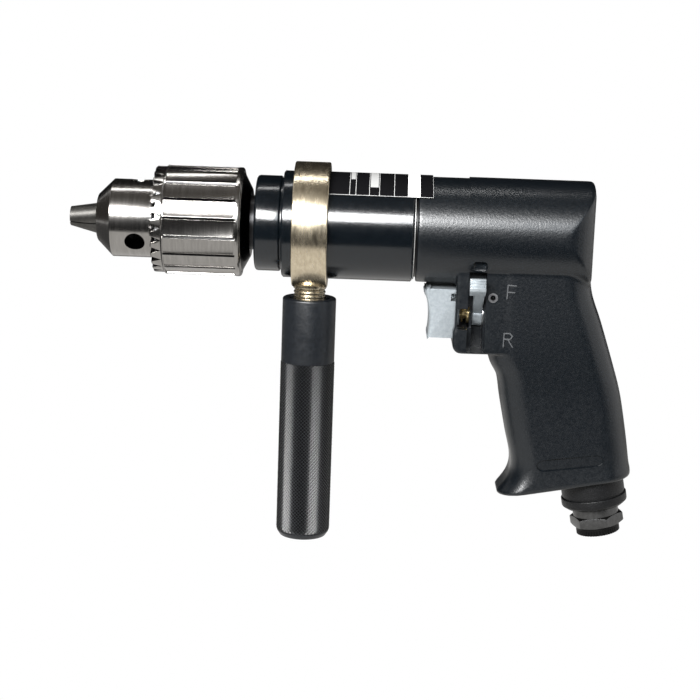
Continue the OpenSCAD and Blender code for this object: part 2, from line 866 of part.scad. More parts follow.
// Rotor with the first sun gear on its shaft
module rotor() {
  end = rotor_x + rotor_len;
  color("silver") difference() {
    union() {
      bar(rotor_x, end, rotor_r);
      bar(ring_end, rotor_x, shaft_r);
      bar(end, motor_end, shaft_r);
      wheel(carrier_planet_x, ring_end, sun_teeth);
    }
    around(vane_count) translate([rotor_x - over, -vane_t / 2 - run_gap, vane_root_r])
      cube([rotor_len + 2 * over, vane_t + 2 * run_gap, rotor_r]);
  }
}

module vanes() {
  color("saddlebrown") around(vane_count) translate([rotor_x, -vane_t / 2, vane_root_r + run_gap])
    cube([rotor_len, vane_t, rotor_r - vane_root_r - 2 * run_gap]);
}

module motor_cylinder() {
  color("slategray") difference() {
    bar(cylinder_x, rear_plate_x, cylinder_r);
    translate([0, 0, -cylinder_offset]) bar(cylinder_x - over, rear_plate_x + over, cylinder_bore_r);
    translate([0, 0, dowel_z]) bar(cylinder_x - over, rear_plate_x + over, dowel_r + fit_gap);
    for (turn = [-1, 1], share = [0.3, 0.5, 0.7]) rotate([180 + turn * port_angle, 0, 0])
      translate([cylinder_x + share * cylinder_len, 0, rotor_r]) cylinder(h = cylinder_r, r = port_w / 2);
  }
}

module plate_bores(from, to) {
  bar(from - over, to + over, shaft_r + free_gap);
  translate([0, 0, dowel_z]) bar(from - over, to + over, dowel_r + fit_gap);
}

module front_plate() {
  color("gray") difference() {
    union() {
      bar(ring_end, spigot_x, ring_out_r - fit_gap);
      bar(spigot_x, cylinder_x, cylinder_r);
    }
    bar(ring_end - over, cylinder_x - plate_wall, rotor_bearing_r);
    plate_bores(ring_end, cylinder_x);
  }
}

module rear_plate() {
  color("gray") difference() {
    bar(rear_plate_x, motor_end, cylinder_r);
    bar(rear_plate_x + plate_wall, motor_end + over, rotor_bearing_r);
    plate_bores(rear_plate_x, motor_end);
  }
}

// Sealed bearing of the rotor's shaft
module rotor_bearing(x) {
  shield = rotor_bearing_w / 12;
  mid = (shaft_r + rotor_bearing_r) / 2;
  band = (rotor_bearing_r - shaft_r) / 4;
  color("silver") difference() {
    ring(x, x + rotor_bearing_w, rotor_bearing_r - fit_gap, shaft_r + run_gap);
    ring(x - over, x + shield, mid + band, mid - band);
    ring(x + rotor_bearing_w - shield, x + rotor_bearing_w + over, mid + band, mid - band);
  }
}

module cylinder_dowel() {
  color("silver") translate([0, 0, dowel_z]) bar(spigot_x + over, motor_end - over, dowel_r);
}

// Band around the gear case with the neck that the handle screws into
module clamp_band() {
  color("goldenrod") difference() {
    union() {
      bar(band_x, band_x + band_w, band_out_r);
      translate([band_mid_x, 0, neck_bottom]) cylinder(h = -neck_bottom - case_r, r = neck_r);
    }
    bar(band_x - over, band_x + band_w + over, band_in_r);
    translate([band_mid_x, 0, neck_bottom - over]) cylinder(h = -neck_bottom, r = stud_r + run_gap);
    for (k = [1:2]) translate([band_mid_x, 0, -band_out_r - k * thread_pitch]) rotate_extrude()
      translate([neck_r, 0]) circle(r = thread_depth);
  }
}

module pressure_pad() {
  color("goldenrod") difference() {
    translate([band_mid_x, 0, pad_top - pad_h]) cylinder(h = pad_h + stud_r, r = stud_r);
    bar(band_x, band_x + band_w, case_r + run_gap);
  }
}

module handle_stud() {
  low = handle_top - stud_in_handle;
  color("silver") translate([band_mid_x, 0, low]) cylinder(h = pad_top - pad_h - low, r = stud_r);
}

module side_handle() {
  bottom = handle_top - handle_len;
  socket_floor = handle_top - handle_socket - handle_travel / 10;
  color("#202226") translate([band_mid_x, 0, 0]) difference() {
    rotate_extrude() polygon([
      [0, bottom], [handle_r - 2 * chamfer, bottom], [handle_r - edge, bottom + chamfer],
      [handle_r, bottom + 2 * chamfer], [handle_r, handle_top - handle_smooth_len - edge],
      [handle_r - knurl_depth, handle_top - handle_smooth_len],
      [handle_r, handle_top - handle_smooth_len + edge],
      [handle_r, handle_top - chamfer], [handle_r - chamfer, handle_top], [0, handle_top]
    ]);
    translate([0, 0, socket_floor]) cylinder(h = handle_len, r = handle_socket_r);
    translate([0, 0, handle_top - stud_in_handle]) cylinder(h = handle_len, r = stud_r + fit_gap);
  }
}

module trigger() {
  mid = (trigger_top + trigger_bottom) / 2;
  chord = trigger_chord_share * trigger_h;
  dip_r = (chord * chord + trigger_dip * trigger_dip) / (2 * trigger_dip);
  color("gainsboro") difference() {
    union() {
      side(trigger_half_w) difference() {
        translate([trigger_front, trigger_bottom]) square([trigger_d, trigger_h]);
        translate([trigger_front + trigger_dip - dip_r, mid - chamfer]) circle(r = dip_r);
      }
      translate([trigger_back - over, -trigger_half_w, -stem_drop - tongue_half_h])
        cube([trigger_tongue + over, 2 * trigger_half_w, 2 * tongue_half_h]);
    }
    on_stem() {
      bar(trigger_front + trigger_d / 2, trigger_back + over, stem_r + fit_gap);
      bar(spring_x, trigger_back + trigger_tongue + over, spring_r + wire_r + free_gap);
    }
    translate([trigger_back - trigger_tongue, -trigger_half_w - over, trigger_top - notch - trigger_tongue])
      cube([trigger_tongue + over, notch + over, notch]);
  }
}

module throttle_stem() {
  color("goldenrod") on_stem()
    bar(trigger_front + trigger_d / 2, valve_end + seat_len + poppet_t, stem_r);
}

// Disc that opens the air when the trigger pushes the stem back
module throttle_valve() {
  x = valve_end + seat_len;
  color("black") on_stem() ring(x, x + poppet_t, poppet_r, stem_r + fit_gap);
}

module throttle_seat() {
  color("goldenrod") on_stem() ring(valve_end, valve_end + seat_len, chamber_r - fit_gap, seat_bore_r);
}

module throttle_bush() {
  color("goldenrod") on_stem() difference() {
    union() {
      bar(spring_end, pocket_end, bush_r);
      bar(pocket_end, slot_x, bush_sleeve_r - fit_gap);
    }
    bar(spring_end - over, slot_x + over, stem_r + run_gap);
  }
}

// Points of the spring's middle line
spring_low = spring_x + wire_r + run_gap;
spring_high = spring_end - wire_r - run_gap;
spring_count = spring_turns * spring_rings;
function spring_point(i) =
  let (turn = 360 * i / spring_rings)
  [spring_low + (spring_high - spring_low) * i / spring_count, spring_r * cos(turn), spring_r * sin(turn)];
spring_gap = min([for (i = [0:spring_count]) for (j = [i + spring_rings / 2:1:spring_count])
  norm(spring_point(i) - spring_point(j))]) - 2 * wire_r;
echo(spring_least_gap = spring_gap);

module trigger_spring() {
  ring_points = [for (i = [0:spring_count]) for (k = [0:spring_sides - 1])
    let (p = spring_point(i), out = [0, p[1], p[2]] / spring_r, around_wire = 360 * k / spring_sides)
    p + wire_r * (cos(around_wire) * out + sin(around_wire) * [1, 0, 0])];
  last = spring_count * spring_sides;
  walls = [for (i = [0:spring_count - 1]) for (k = [0:spring_sides - 1])
    let (a = i * spring_sides + k, b = i * spring_sides + (k + 1) % spring_sides)
    each [[a, a + spring_sides, b], [b, a + spring_sides, b + spring_sides]]];
  caps = [for (k = [1:spring_sides - 2]) each [[0, k, k + 1], [last, last + k + 1, last + k]]];
  color("goldenrod") on_stem() polyhedron(points = ring_points, faces = concat(walls, caps));
}

// Thumb lever that turns about the throttle stem
module reverse_lever() {
  color("gainsboro") on_stem() difference() {
    union() {
      bar(lever_x, lever_end, hub_r);
      rotate([-lever_angle, 0, 0]) {
        translate([lever_x, -lever_reach, -arm_t / 2]) cube([lever_w, lever_reach, arm_t]);
        translate([lever_end - pad_w, -lever_reach - pad_t / 2, -pad_len / 2])
          cube([pad_w, pad_t, pad_len]);
      }
    }
    bar(lever_x - over, lever_end + over, stem_r + free_gap);
  }
}

// Turning valve that swaps the motor's ports
module reverse_valve() {
  mid = (slot_end + valve_end) / 2;
  color("silver") on_stem() difference() {
    bar(lever_end, valve_end - free_gap, valve_r);
    bar(lever_end - over, valve_end + over, stem_r + free_gap);
    translate([mid, 0, 0]) cylinder(h = 2 * valve_r, r = port_w / 2);
    translate([slot_end + valve_len / 4, 0, 0]) rotate([0, 90, 0]) rotate_extrude()
      translate([valve_r - seal_wire_r, 0]) circle(r = seal_wire_r + fit_gap);
  }
}

module reverse_seal() {
  color("black") on_stem() translate([slot_end + valve_len / 4, 0, 0]) rotate([0, 90, 0]) rotate_extrude()
    translate([valve_r - seal_wire_r, 0]) circle(r = seal_wire_r);
}

// Hexagon bushing that takes the air fitting
module inlet_bushing() {
  corner_r = hex_af / 2 / cos(30);
  flat_r = hex_af / 2 - free_gap;
  slant = corner_r - flat_r;
  color("dimgray") on_inlet() difference() {
    union() {
      translate([0, 0, -deflector_floor]) cylinder(h = bushing_up + deflector_floor, r = bushing_r);
      translate([0, 0, hex_top]) cylinder(h = -deflector_floor - hex_top, r = bushing_neck_r);
      intersection() {
        translate([0, 0, hex_bottom]) rotate(hex_turn) cylinder(h = hex_len, r = corner_r, $fn = 6);
        rotate_extrude() polygon([
          [0, hex_bottom], [flat_r, hex_bottom], [flat_r + 2 * slant, hex_bottom + 2 * edge],
          [flat_r + 2 * slant, hex_top - 2 * edge], [flat_r, hex_top], [0, hex_top]
        ]);
      }
    }
    translate([0, 0, hex_bottom - over]) cylinder(h = plug_spigot_len + over, r = plug_spigot_r + run_gap);
    translate([0, 0, hex_bottom]) cylinder(h = plug_spigot_len + inlet_thread_len, r = inlet_thread_r);
    translate([0, 0, hex_bottom]) cylinder(h = bushing_up - hex_bottom + over, r = bushing_air_r);
    translate([0, 0, seal_low]) rotate_extrude()
      translate([bushing_r - seal_wire_r, 0]) circle(r = seal_wire_r + fit_gap);
  }
}

// Round collar under the grip that sends the exhaust down
module exhaust_deflector() {
  color("#2c2e32") on_inlet() difference() {
    rotate_extrude() polygon([
      [0, -deflector_floor], [deflector_foot_r, -deflector_floor], [deflector_r, -deflector_h],
      [deflector_r, 0], [deflector_neck_r, 0], [deflector_neck_r, deflector_up], [0, deflector_up]
    ]);
    translate([0, 0, fit_gap]) cylinder(h = deflector_up + over, r = deflector_neck_r - deflector_wall);
    translate([0, 0, -deflector_floor - over]) cylinder(h = deflector_up, r = bushing_r + fit_gap);
    for (k = [0:exhaust_holes - 1]) rotate(360 * k / exhaust_holes)
      translate([(bushing_neck_r + deflector_foot_r) / 2, 0, -deflector_floor - over])
        cylinder(h = deflector_floor + 2 * over, r = exhaust_hole_r);
  }
}

module muffler() {
  color("tan") on_inlet() translate([0, 0, run_gap]) difference() {
    cylinder(h = deflector_up - 2 * run_gap, r = deflector_neck_r - deflector_wall - fit_gap);
    translate([0, 0, -over]) cylinder(h = deflector_up + 2 * over, r = bushing_r + fit_gap);
  }
}

module inlet_screen() {
  color("silver") on_inlet() translate([0, 0, bushing_up]) difference() {
    cylinder(h = screen_t, r = bushing_r);
    translate([0, 0, -over]) cylinder(h = screen_t + 2 * over, r = screen_hole_r);
    for (k = [0:5]) rotate(60 * k) translate([air_r - 2 * screen_hole_r, 0, -over])
      cylinder(h = screen_t + 2 * over, r = screen_hole_r);
  }
}

module inlet_seal() {
  color("black") on_inlet() translate([0, 0, seal_low]) rotate_extrude()
    translate([bushing_r - seal_wire_r, 0]) circle(r = seal_wire_r);
}

// Push-in cap that keeps dirt out of the inlet
module dust_plug() {
  color("#151515") on_inlet() difference() {
    union() {
      translate([0, 0, hex_bottom - plug_h]) cylinder(h = plug_h, r = plug_r);
      translate([0, 0, hex_bottom - over])
        cylinder(h = plug_spigot_len - free_gap + over, r = plug_spigot_r);
    }
    for (k = [0:plug_ribs - 1]) rotate(360 * k / plug_ribs)
      translate([plug_r, 0, hex_bottom - plug_h - over])
        cylinder(h = plug_h, r = plug_r * PI / plug_ribs / 2);
  }
}

chuck_body();
chuck_sleeve();
jaw_nut();
jaw(0);  // jaw_1
jaw(1);  // jaw_2
jaw(2);  // jaw_3
chuck_screw();
spindle();
planet_pins(spindle_carrier_x, spindle_planet_x + planet_w);  // spindle_pins
planet(spindle_planet_x, 0);  // spindle_planet_1
planet(spindle_planet_x, 1);  // spindle_planet_2
planet(spindle_planet_x, 2);  // spindle_planet_3
carrier();
planet_pins(carrier_x, carrier_planet_x + planet_w);  // carrier_pins
planet(carrier_planet_x, 0);  // carrier_planet_1
planet(carrier_planet_x, 1);  // carrier_planet_2
planet(carrier_planet_x, 2);  // carrier_planet_3
ring_gear();
bearing_outer(front_bearing_x);  // front_bearing_outer
bearing_inner(front_bearing_x);  // front_bearing_inner
bearing_balls(front_bearing_x);  // front_bearing_balls
bearing_outer(rear_bearing_x);  // rear_bearing_outer
bearing_inner(rear_bearing_x);  // rear_bearing_inner
bearing_balls(rear_bearing_x);  // rear_bearing_balls
bearing_spacer();
grease_seal();
nose_collar();
gear_case();
joint_ring();
motor_housing();
data_plate();
roll_pin();
rotor();
vanes();
motor_cylinder();
front_plate();
rear_plate();
rotor_bearing(cylinder_x - plate_t);  // rotor_front_bearing
rotor_bearing(rear_plate_x + plate_wall);  // rotor_rear_bearing
cylinder_dowel();
clamp_band();
pressure_pad();
handle_stud();
side_handle();
trigger();
throttle_stem();
throttle_valve();
throttle_seat();
throttle_bush();
trigger_spring();
reverse_lever();
reverse_valve();
reverse_seal();
inlet_bushing();
exhaust_deflector();
muffler();
inlet_screen();
inlet_seal();
dust_plug();
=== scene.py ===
# Air drill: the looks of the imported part, in metres, in the frame of the CAD model
import json
import math

import bmesh
import bpy
from mathutils import Matrix, Vector


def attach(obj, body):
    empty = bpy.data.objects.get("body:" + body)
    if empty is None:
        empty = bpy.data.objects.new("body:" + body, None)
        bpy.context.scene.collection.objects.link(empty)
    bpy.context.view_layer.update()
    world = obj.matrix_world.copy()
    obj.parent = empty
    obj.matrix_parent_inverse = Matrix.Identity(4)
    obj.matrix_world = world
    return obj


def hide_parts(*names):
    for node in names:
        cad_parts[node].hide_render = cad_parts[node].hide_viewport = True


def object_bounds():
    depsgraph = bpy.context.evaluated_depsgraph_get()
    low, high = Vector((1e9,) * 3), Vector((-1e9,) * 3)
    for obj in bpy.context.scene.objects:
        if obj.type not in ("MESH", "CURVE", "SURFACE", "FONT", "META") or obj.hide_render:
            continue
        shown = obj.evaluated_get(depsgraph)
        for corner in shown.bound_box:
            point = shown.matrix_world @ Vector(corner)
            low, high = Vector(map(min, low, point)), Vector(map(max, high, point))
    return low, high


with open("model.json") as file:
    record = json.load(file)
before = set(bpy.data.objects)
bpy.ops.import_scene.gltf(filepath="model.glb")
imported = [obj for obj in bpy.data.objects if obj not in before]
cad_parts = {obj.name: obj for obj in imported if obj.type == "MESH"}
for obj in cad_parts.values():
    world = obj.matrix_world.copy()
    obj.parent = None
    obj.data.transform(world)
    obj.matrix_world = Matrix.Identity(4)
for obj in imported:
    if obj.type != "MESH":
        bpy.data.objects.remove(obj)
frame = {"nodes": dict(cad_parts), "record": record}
cadBox = [[float(x) for x in corner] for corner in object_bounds()]
mm = 0.001
print("frame loaded:", len(frame["nodes"]), "nodes")


class Wire:  # one output of a material's nodes, so that shader maths reads as Python
    def __init__(self, tree, socket=None):
        self.tree = tree
        self.socket = socket

    def node(self, kind, settings=None, inputs=None, out=0):
        made = self.tree.nodes.new(kind)
        for name, value in (settings or {}).items():
            setattr(made, name, value)
        for name, value in (inputs or {}).items():
            if isinstance(value, Wire):
                self.tree.links.new(value.socket, made.inputs[name])
            else:
                made.inputs[name].default_value = value
        return Wire(self.tree, made.outputs[out])

    def maths(self, operation, first, second=0.0):
        return self.node("ShaderNodeMath", {"operation": operation}, {0: first, 1: second})

    def __add__(self, other):
        return self.maths("ADD", self, other)

    def __sub__(self, other):
        return self.maths("SUBTRACT", self, other)

    def __mul__(self, other):
        return self.maths("MULTIPLY", self, other)

    def __rsub__(self, other):
        return self.maths("SUBTRACT", other, self)

    def __gt__(self, other):
        return self.maths("GREATER_THAN", self, other)

    def __lt__(self, other):
        return self.maths("LESS_THAN", self, other)

    def __abs__(self):
        return self.maths("ABSOLUTE", self)

    __radd__ = __add__
    __rmul__ = __mul__

    def mix(self, low, high):  # low where this is 0, high where it is 1
        return self.node("ShaderNodeMix", {"data_type": "RGBA"}, {0: self, 6: low, 7: high}, 2)


def newMaterial(name, color, roughness, metallic=0.0, **more):
    material = bpy.data.materials.new(name)
    material.use_nodes = True
    shader = material.node_tree.nodes["Principled BSDF"]
    values = {"Base Color": (*color, 1.0), "Roughness": roughness, "Metallic": metallic, **more}
    for socket, value in values.items():
        shader.inputs[socket.replace("_", " ")].default_value = value
    return material


def feed(material, socketName, wire):  # links a wire to the material's own shader
    tree = material.node_tree
    tree.links.new(wire.socket, tree.nodes["Principled BSDF"].inputs[socketName])


def place(material, scale=(1.0, 1.0, 1.0)):  # object coordinates, stretched by a scale
    start = Wire(material.node_tree)
    coords = start.node("ShaderNodeTexCoord", out="Object")
    return start.node("ShaderNodeMapping", inputs={"Vector": coords, "Scale": scale})


def axes(material):  # x, y and z in mm
    spot = place(material, (1000.0, 1000.0, 1000.0))
    return [spot.node("ShaderNodeSeparateXYZ", inputs={"Vector": spot}, out=k) for k in range(3)]


def noise(point, scale, detail=2.0):
    return point.node("ShaderNodeTexNoise", inputs={"Vector": point, "Scale": scale, "Detail": detail})


def grained(material, scale, strength, distance, stretch=(1.0, 1.0, 1.0)):  # a fine relief
    height = noise(place(material, stretch), scale)
    feed(material, "Normal", height.node("ShaderNodeBump", inputs={
        "Strength": strength, "Distance": distance, "Height": height}))


def shaded(material, low, high, scale, detail=4.0, stretch=(1.0, 1.0, 1.0)):  # a colour that wanders
    field = noise(place(material, stretch), scale, detail)
    feed(material, "Base Color", field.mix((*low, 1.0), (*high, 1.0)))


def spread(material, low, high, scale, stretch=(1.0, 1.0, 1.0)):  # uneven roughness
    field = noise(place(material, stretch), scale, 3.0)
    feed(material, "Roughness", low + (high - low) * field)


around = (1.0, 0.02, 0.02)  # stretches a pattern into lines round the spindle's axis
finish = {  # color and rough: one value, or two and the scale of the pattern between them
    "blackPaint": dict(
        color=((0.0005, 0.0014, 0.0026), (0.0015, 0.0030, 0.0046), 700.0), rough=(0.23, 0.4, 900.0),
        grain=(1300.0, 0.32, 0.00016), specular=0.55),  # scale, strength, depth in m
    "caseBlack": dict(
        color=((0.0008, 0.0016, 0.0026), (0.0018, 0.0030, 0.0042), 300.0), rough=(0.12, 0.22, 500.0),
        grain=(1500.0, 0.16, 0.00012), specular=0.6),
    "handleBlack": dict(
        color=((0.0006, 0.0008, 0.0012), (0.0085, 0.0105, 0.0135), 900.0, 6.0),
        rough=(0.24, 0.46, 420.0), grain=(1100.0, 0.3, 0.00016), specular=0.4),
    "knurlBlack": dict(
        color=((0.0008, 0.001, 0.0012), (0.0035, 0.0038, 0.0042), 900.0), rough=(0.18, 0.28, 900.0),
        specular=0.32),
    "chuckSteel": dict(
        rough=(0.12, 0.27, 2600.0, around), grain=(5200.0, 0.12, 0.00006, around), metallic=1.0),
    "jawSteel": dict(
        color=((0.07, 0.067, 0.062), (0.15, 0.146, 0.138), 700.0), rough=(0.34, 0.5, 900.0),
        metallic=1.0),
    "bandBronze": dict(
        color=((0.46, 0.385, 0.265), (0.82, 0.72, 0.55), 900.0, 6.0, (1.0, 0.5, 0.5)),
        rough=(0.17, 0.34, 700.0, (1.0, 0.25, 0.25)), grain=(3200.0, 0.18, 0.00008, around),
        metallic=1.0),
    "zincCasting": dict(
        color=((0.20, 0.225, 0.24), (0.34, 0.37, 0.39), 900.0), rough=(0.22, 0.45, 900.0),
        grain=(1500.0, 0.35, 0.00014), metallic=0.5),
    "darkSteel": dict(
        color=((0.055, 0.055, 0.055), (0.13, 0.13, 0.13), 650.0), rough=(0.2, 0.42, 1200.0),
        metallic=1.0),
    "deflectorGrey": dict(
        color=((0.0010, 0.0011, 0.0014), (0.0040, 0.0042, 0.0047), 800.0), rough=0.42,
        grain=(1700.0, 0.6, 0.00025), specular=0.25),
    "plugPlastic": dict(
        color=(0.001, 0.001, 0.001), rough=(0.34, 0.5, 500.0), grain=(1400.0, 0.2, 0.0001),
        specular=0.15),
    "jointGrey": dict(rough=(0.26, 0.42, 700.0), metallic=0.5),
    "labelFilm": dict(rough=0.6, specular=0.06),
    # the letters' lighter grey is a painted highlight, standing in for the glints on the edges of the
    # raised letters
    "letterGrey": dict(color=(0.075, 0.078, 0.082), rough=0.34, metallic=0.4),
    "brass": dict(
        color=(0.85, 0.66, 0.34), rough=(0.31, 0.44, 450.0), grain=(900.0, 0.15, 0.0001), metallic=0.9),
    "machinedSteel": dict(
        color=(0.55, 0.55, 0.56), rough=(0.23, 0.36, 750.0), grain=(1500.0, 0.15, 0.0001), metallic=1.0),
    "motorIron": dict(
        color=(0.25, 0.25, 0.26), rough=(0.35, 0.48, 400.0), grain=(800.0, 0.15, 0.0001), metallic=0.9),
    "spindleBlack": dict(
        color=(0.02, 0.02, 0.021), rough=(0.31, 0.44, 450.0), grain=(900.0, 0.15, 0.0001), metallic=0.8),
    "rubber": dict(
        color=(0.015, 0.015, 0.015), rough=(0.55, 0.68, 600.0), grain=(1200.0, 0.15, 0.0001)),
    "felt": dict(color=(0.55, 0.47, 0.36), rough=(0.9, 1.03, 1250.0), grain=(2500.0, 0.15, 0.0001)),
    "fibre": dict(color=(0.28, 0.15, 0.07), rough=(0.55, 0.68, 800.0), grain=(1600.0, 0.15, 0.0001)),
}


def makeFinish(name, color=(0.0, 0.0, 0.0), rough=0.5, grain=None, specular=0.5, metallic=0.0):
    wanders, uneven = isinstance(color[0], tuple), isinstance(rough, tuple)
    material = newMaterial(name, color[0] if wanders else color, rough[0] if uneven else rough, metallic,
                           Specular_IOR_Level=specular)
    if wanders:
        shaded(material, *color)
    if uneven:
        spread(material, *rough)
    if grain:
        grained(material, *grain)
    return material


materials = {name: makeFinish(name, **values) for name, values in finish.items()}
print("materials made:", len(materials))

slotFinish = {  # the record's material slots and the finishes that show them
    "machined_steel": "machinedSteel", "chuck_steel": "chuckSteel", "jaw_steel": "jawSteel",
    "black_paint": "caseBlack", "deflector_grey": "deflectorGrey", "label_film": "labelFilm",
    "band_bronze": "bandBronze", "black_oxide": "handleBlack", "zinc_casting": "zincCasting",
    "brass": "brass", "rubber": "rubber", "felt": "felt", "vane_fibre": "fibre",
    "black_plastic": "plugPlastic", "dark_steel": "darkSteel", "joint_grey": "jointGrey",
    "motor_iron": "motorIron",
}
slots = {row["node"]: row["material_slot"] for row in frame["record"]["subparts"]}
for name, obj in frame["nodes"].items():
    obj.data.materials.clear()
    obj.data.materials.append(materials[slotFinish[slots[name]]])
frame["nodes"]["motor_housing"].data.materials[0] = materials["blackPaint"]
frame["nodes"]["spindle"].data.materials[0] = materials["spindleBlack"]


def only(obj):  # the one selected and active object
    if bpy.context.mode != "OBJECT":
        bpy.ops.object.mode_set(mode="OBJECT")
    bpy.ops.object.select_all(action="DESELECT")
    obj.select_set(True)
    bpy.context.view_layer.objects.active = obj


def edit(obj):
    only(obj)
    bpy.ops.object.mode_set(mode="EDIT")
    bpy.ops.mesh.select_all(action="DESELECT")


def pick(obj, test):  # selects the edges that pass a test
    bpy.ops.mesh.select_mode(type="EDGE")
    bpy.ops.mesh.select_all(action="DESELECT")
    mesh = bmesh.from_edit_mesh(obj.data)
    for edge in mesh.edges:
        if test(edge):
            edge.select_set(True)
    bmesh.update_edit_mesh(obj.data)


def clean(obj):  # merges doubles and turns all faces outwards
    edit(obj)
    bpy.ops.mesh.select_all(action="SELECT")
    bpy.ops.mesh.remove_doubles(threshold=0.001 * mm)
    bpy.ops.mesh.normals_make_consistent(inside=False)
    bpy.ops.object.mode_set(mode="OBJECT")
    return obj


def settle(obj, name):  # the place goes into the mesh
    only(obj)
    bpy.ops.object.transform_apply(location=True, rotation=True, scale=True)
    obj.name = name
    obj.data.name = name
    return obj


def modify(obj, kind, **values):
    only(obj)
    made = obj.modifiers.new(kind.lower(), kind)
    for name, value in values.items():
        setattr(made, name, value)
    bpy.ops.object.modifier_apply(modifier=made.name)
    return obj


def soften(obj, width, segments=2, angle=30.0):  # rounds the sharp edges
    return modify(obj, "BEVEL", width=width * mm, segments=segments, limit_method="ANGLE",
                  angle_limit=math.radians(angle), use_clamp_overlap=True)


def combine(obj, other, operation):  # cuts, joins or crosses two closed shapes
    modify(obj, "BOOLEAN", operation=operation, object=other, solver="EXACT")
    bpy.data.objects.remove(other, do_unlink=True)
    return obj


def joined(first, *others):
    only(first)
    for other in others:
        other.select_set(True)
    bpy.ops.object.join()
    return first


def smooth(obj, angle=35.0):
    only(obj)
    bpy.ops.object.shade_smooth_by_angle(angle=math.radians(angle))
    return obj


def dress(obj, body, finishName, *nodes):  # material, body and the nodes it stands for
    obj.data.materials.clear()
    obj.data.materials.append(materials[finishName])
    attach(obj, body)
    if nodes:
        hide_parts(*nodes)
    return obj


def rounded(outline, radius, steps=4):  # rounds the corners of an outline by a radius each
    result = []
    for i, (corner, r) in enumerate(zip(outline, radius)):
        corner = Vector(corner)
        if r == 0.0 or i in (0, len(outline) - 1):
            result.append(corner)
            continue
        back = (Vector(outline[i - 1]) - corner).normalized()
        ahead = (Vector(outline[i + 1]) - corner).normalized()
        half = back.angle(ahead) / 2
        reach = r / math.tan(half)
        middle = corner + (back + ahead).normalized() * (r / math.sin(half))
        start, end = corner + back * reach - middle, corner + ahead * reach - middle
        sweep = start.angle_signed(end)
        for k in range(steps + 1):
            turn = -sweep * k / steps
            result.append(middle + Vector((start.x * math.cos(turn) - start.y * math.sin(turn),
                                           start.x * math.sin(turn) + start.y * math.cos(turn))))
    return result


def turned(name, outline, steps, spot=(0.0, 0.0, 0.0), axis=(1.0, 0.0, 0.0)):
    # spins an outline of (station, radius) points in mm round an axis through a spot
    along = Vector(axis).normalized()
    side = along.cross(Vector((0.0, 1.0, 0.0))).normalized()
    points = [Vector(spot) * mm + along * (p[0] * mm) + side * (p[1] * mm) for p in outline]
    bpy.ops.mesh.primitive_plane_add(size=mm, location=points[0])
    obj = bpy.context.object
    bpy.ops.object.mode_set(mode="EDIT")
    bpy.ops.mesh.select_mode(type="VERT")
    bpy.ops.mesh.select_all(action="SELECT")
    bpy.ops.mesh.merge(type="CENTER")
    for before, after in zip(points, points[1:]):
        bpy.ops.mesh.extrude_vertices_move(TRANSFORM_OT_translate={"value": after - before})
    bpy.ops.mesh.select_all(action="SELECT")
    bpy.ops.mesh.spin(steps=steps, angle=2 * math.pi, center=Vector(spot) * mm, axis=along)
    bpy.ops.object.mode_set(mode="OBJECT")
    return clean(settle(obj, name))


def rod(name, start, end, radius, sides):  # a round bar between two points, in mm
    start, end = Vector(start) * mm, Vector(end) * mm
    bpy.ops.mesh.primitive_cylinder_add(vertices=sides, radius=radius * mm,
                                        depth=(end - start).length, location=(start + end) / 2)
    bpy.context.object.rotation_euler = (end - start).to_track_quat("Z", "Y").to_euler()
    return settle(bpy.context.object, name)


def block(name, low, high):  # a box between two corners, in mm
    low, high = Vector(low) * mm, Vector(high) * mm
    bpy.ops.mesh.primitive_cube_add(size=1.0, location=(low + high) / 2)
    bpy.context.object.scale = high - low
    return settle(bpy.context.object, name)


def slab(name, outline, thickness, spot=0.0):  # an outline of (x, z) points in mm, thick along Y
    bpy.ops.mesh.primitive_circle_add(vertices=len(outline), radius=mm, fill_type="NGON")
    obj = bpy.context.object
    bpy.ops.object.mode_set(mode="EDIT")
    mesh = bmesh.from_edit_mesh(obj.data)
    mesh.verts.ensure_lookup_table()
    for vert, point in zip(mesh.verts, outline):
        vert.co = (point[0] * mm, (spot - thickness / 2) * mm, point[1] * mm)
    bmesh.update_edit_mesh(obj.data)
    bpy.ops.mesh.select_all(action="SELECT")
    bpy.ops.mesh.extrude_region_move(TRANSFORM_OT_translate={"value": (0.0, thickness * mm, 0.0)})
    bpy.ops.object.mode_set(mode="OBJECT")
    return clean(settle(obj, name))


def copies(obj, count, start):  # equal turns about the spindle's axis, the first in degrees
    made = []
    for k in range(count):
        copy = obj.copy()
        copy.data = obj.data.copy()
        bpy.context.collection.objects.link(copy)
        copy.data.transform(Matrix.Rotation(math.radians(start) + 2 * math.pi * k / count, 4, "X"))
        made.append(copy)
    bpy.data.objects.remove(obj, do_unlink=True)
    return joined(*made)


chuck = {
    "nose": 11.2, "shoulder": 17.4, "sleeve": 34.1, "sleeveEnd": 68.9, "end": 72.3,  # mm along X
    "noseR": 9.3, "bodyR": 15.5, "sleeveR": 21.7, "wall": 1.7, "bevelR": 13.5, "landGap": 0.06,
    "lip": 1.7, "lipR": 15.8, "ringDrop": 0.6, "step": 41.2, "stepR": 19.15,  # inside the sleeve
    "nut": 35.5, "nutEnd": 41.5, "nutR": 12.9, "threadR": 6.32, "threadEnd": 52.8,
    "holeX": 27.3, "holeR": 4.0, "holeFloor": 9.3, "holeTop": 20.0, "holeTurn": 1.0,  # degrees from up
    "teeth": 28, "toothLong": 4.1, "toothWide": 3.4, "toothStep": 4.7, "toothTurn": 3.2,
    "panels": 18, "panelFront": 5.0, "panelRear": 2.0, "panelWide": 6.3, "panelDepth": 0.6,
    "panelTurn": 11.5, "panelRound": 0.7, "grooveR": 0.6, "grooveShare": 0.065,  # of a panel's turn
    "jawTurn": 61.0, "jawAngle": 15.0, "jawR": 4.06, "jawTip": 3.8, "jawHalf": 4.0,
    "jawEnds": (-8.0, 66.0), "boreR": 6.8, "boreEnd": 47.7,
}


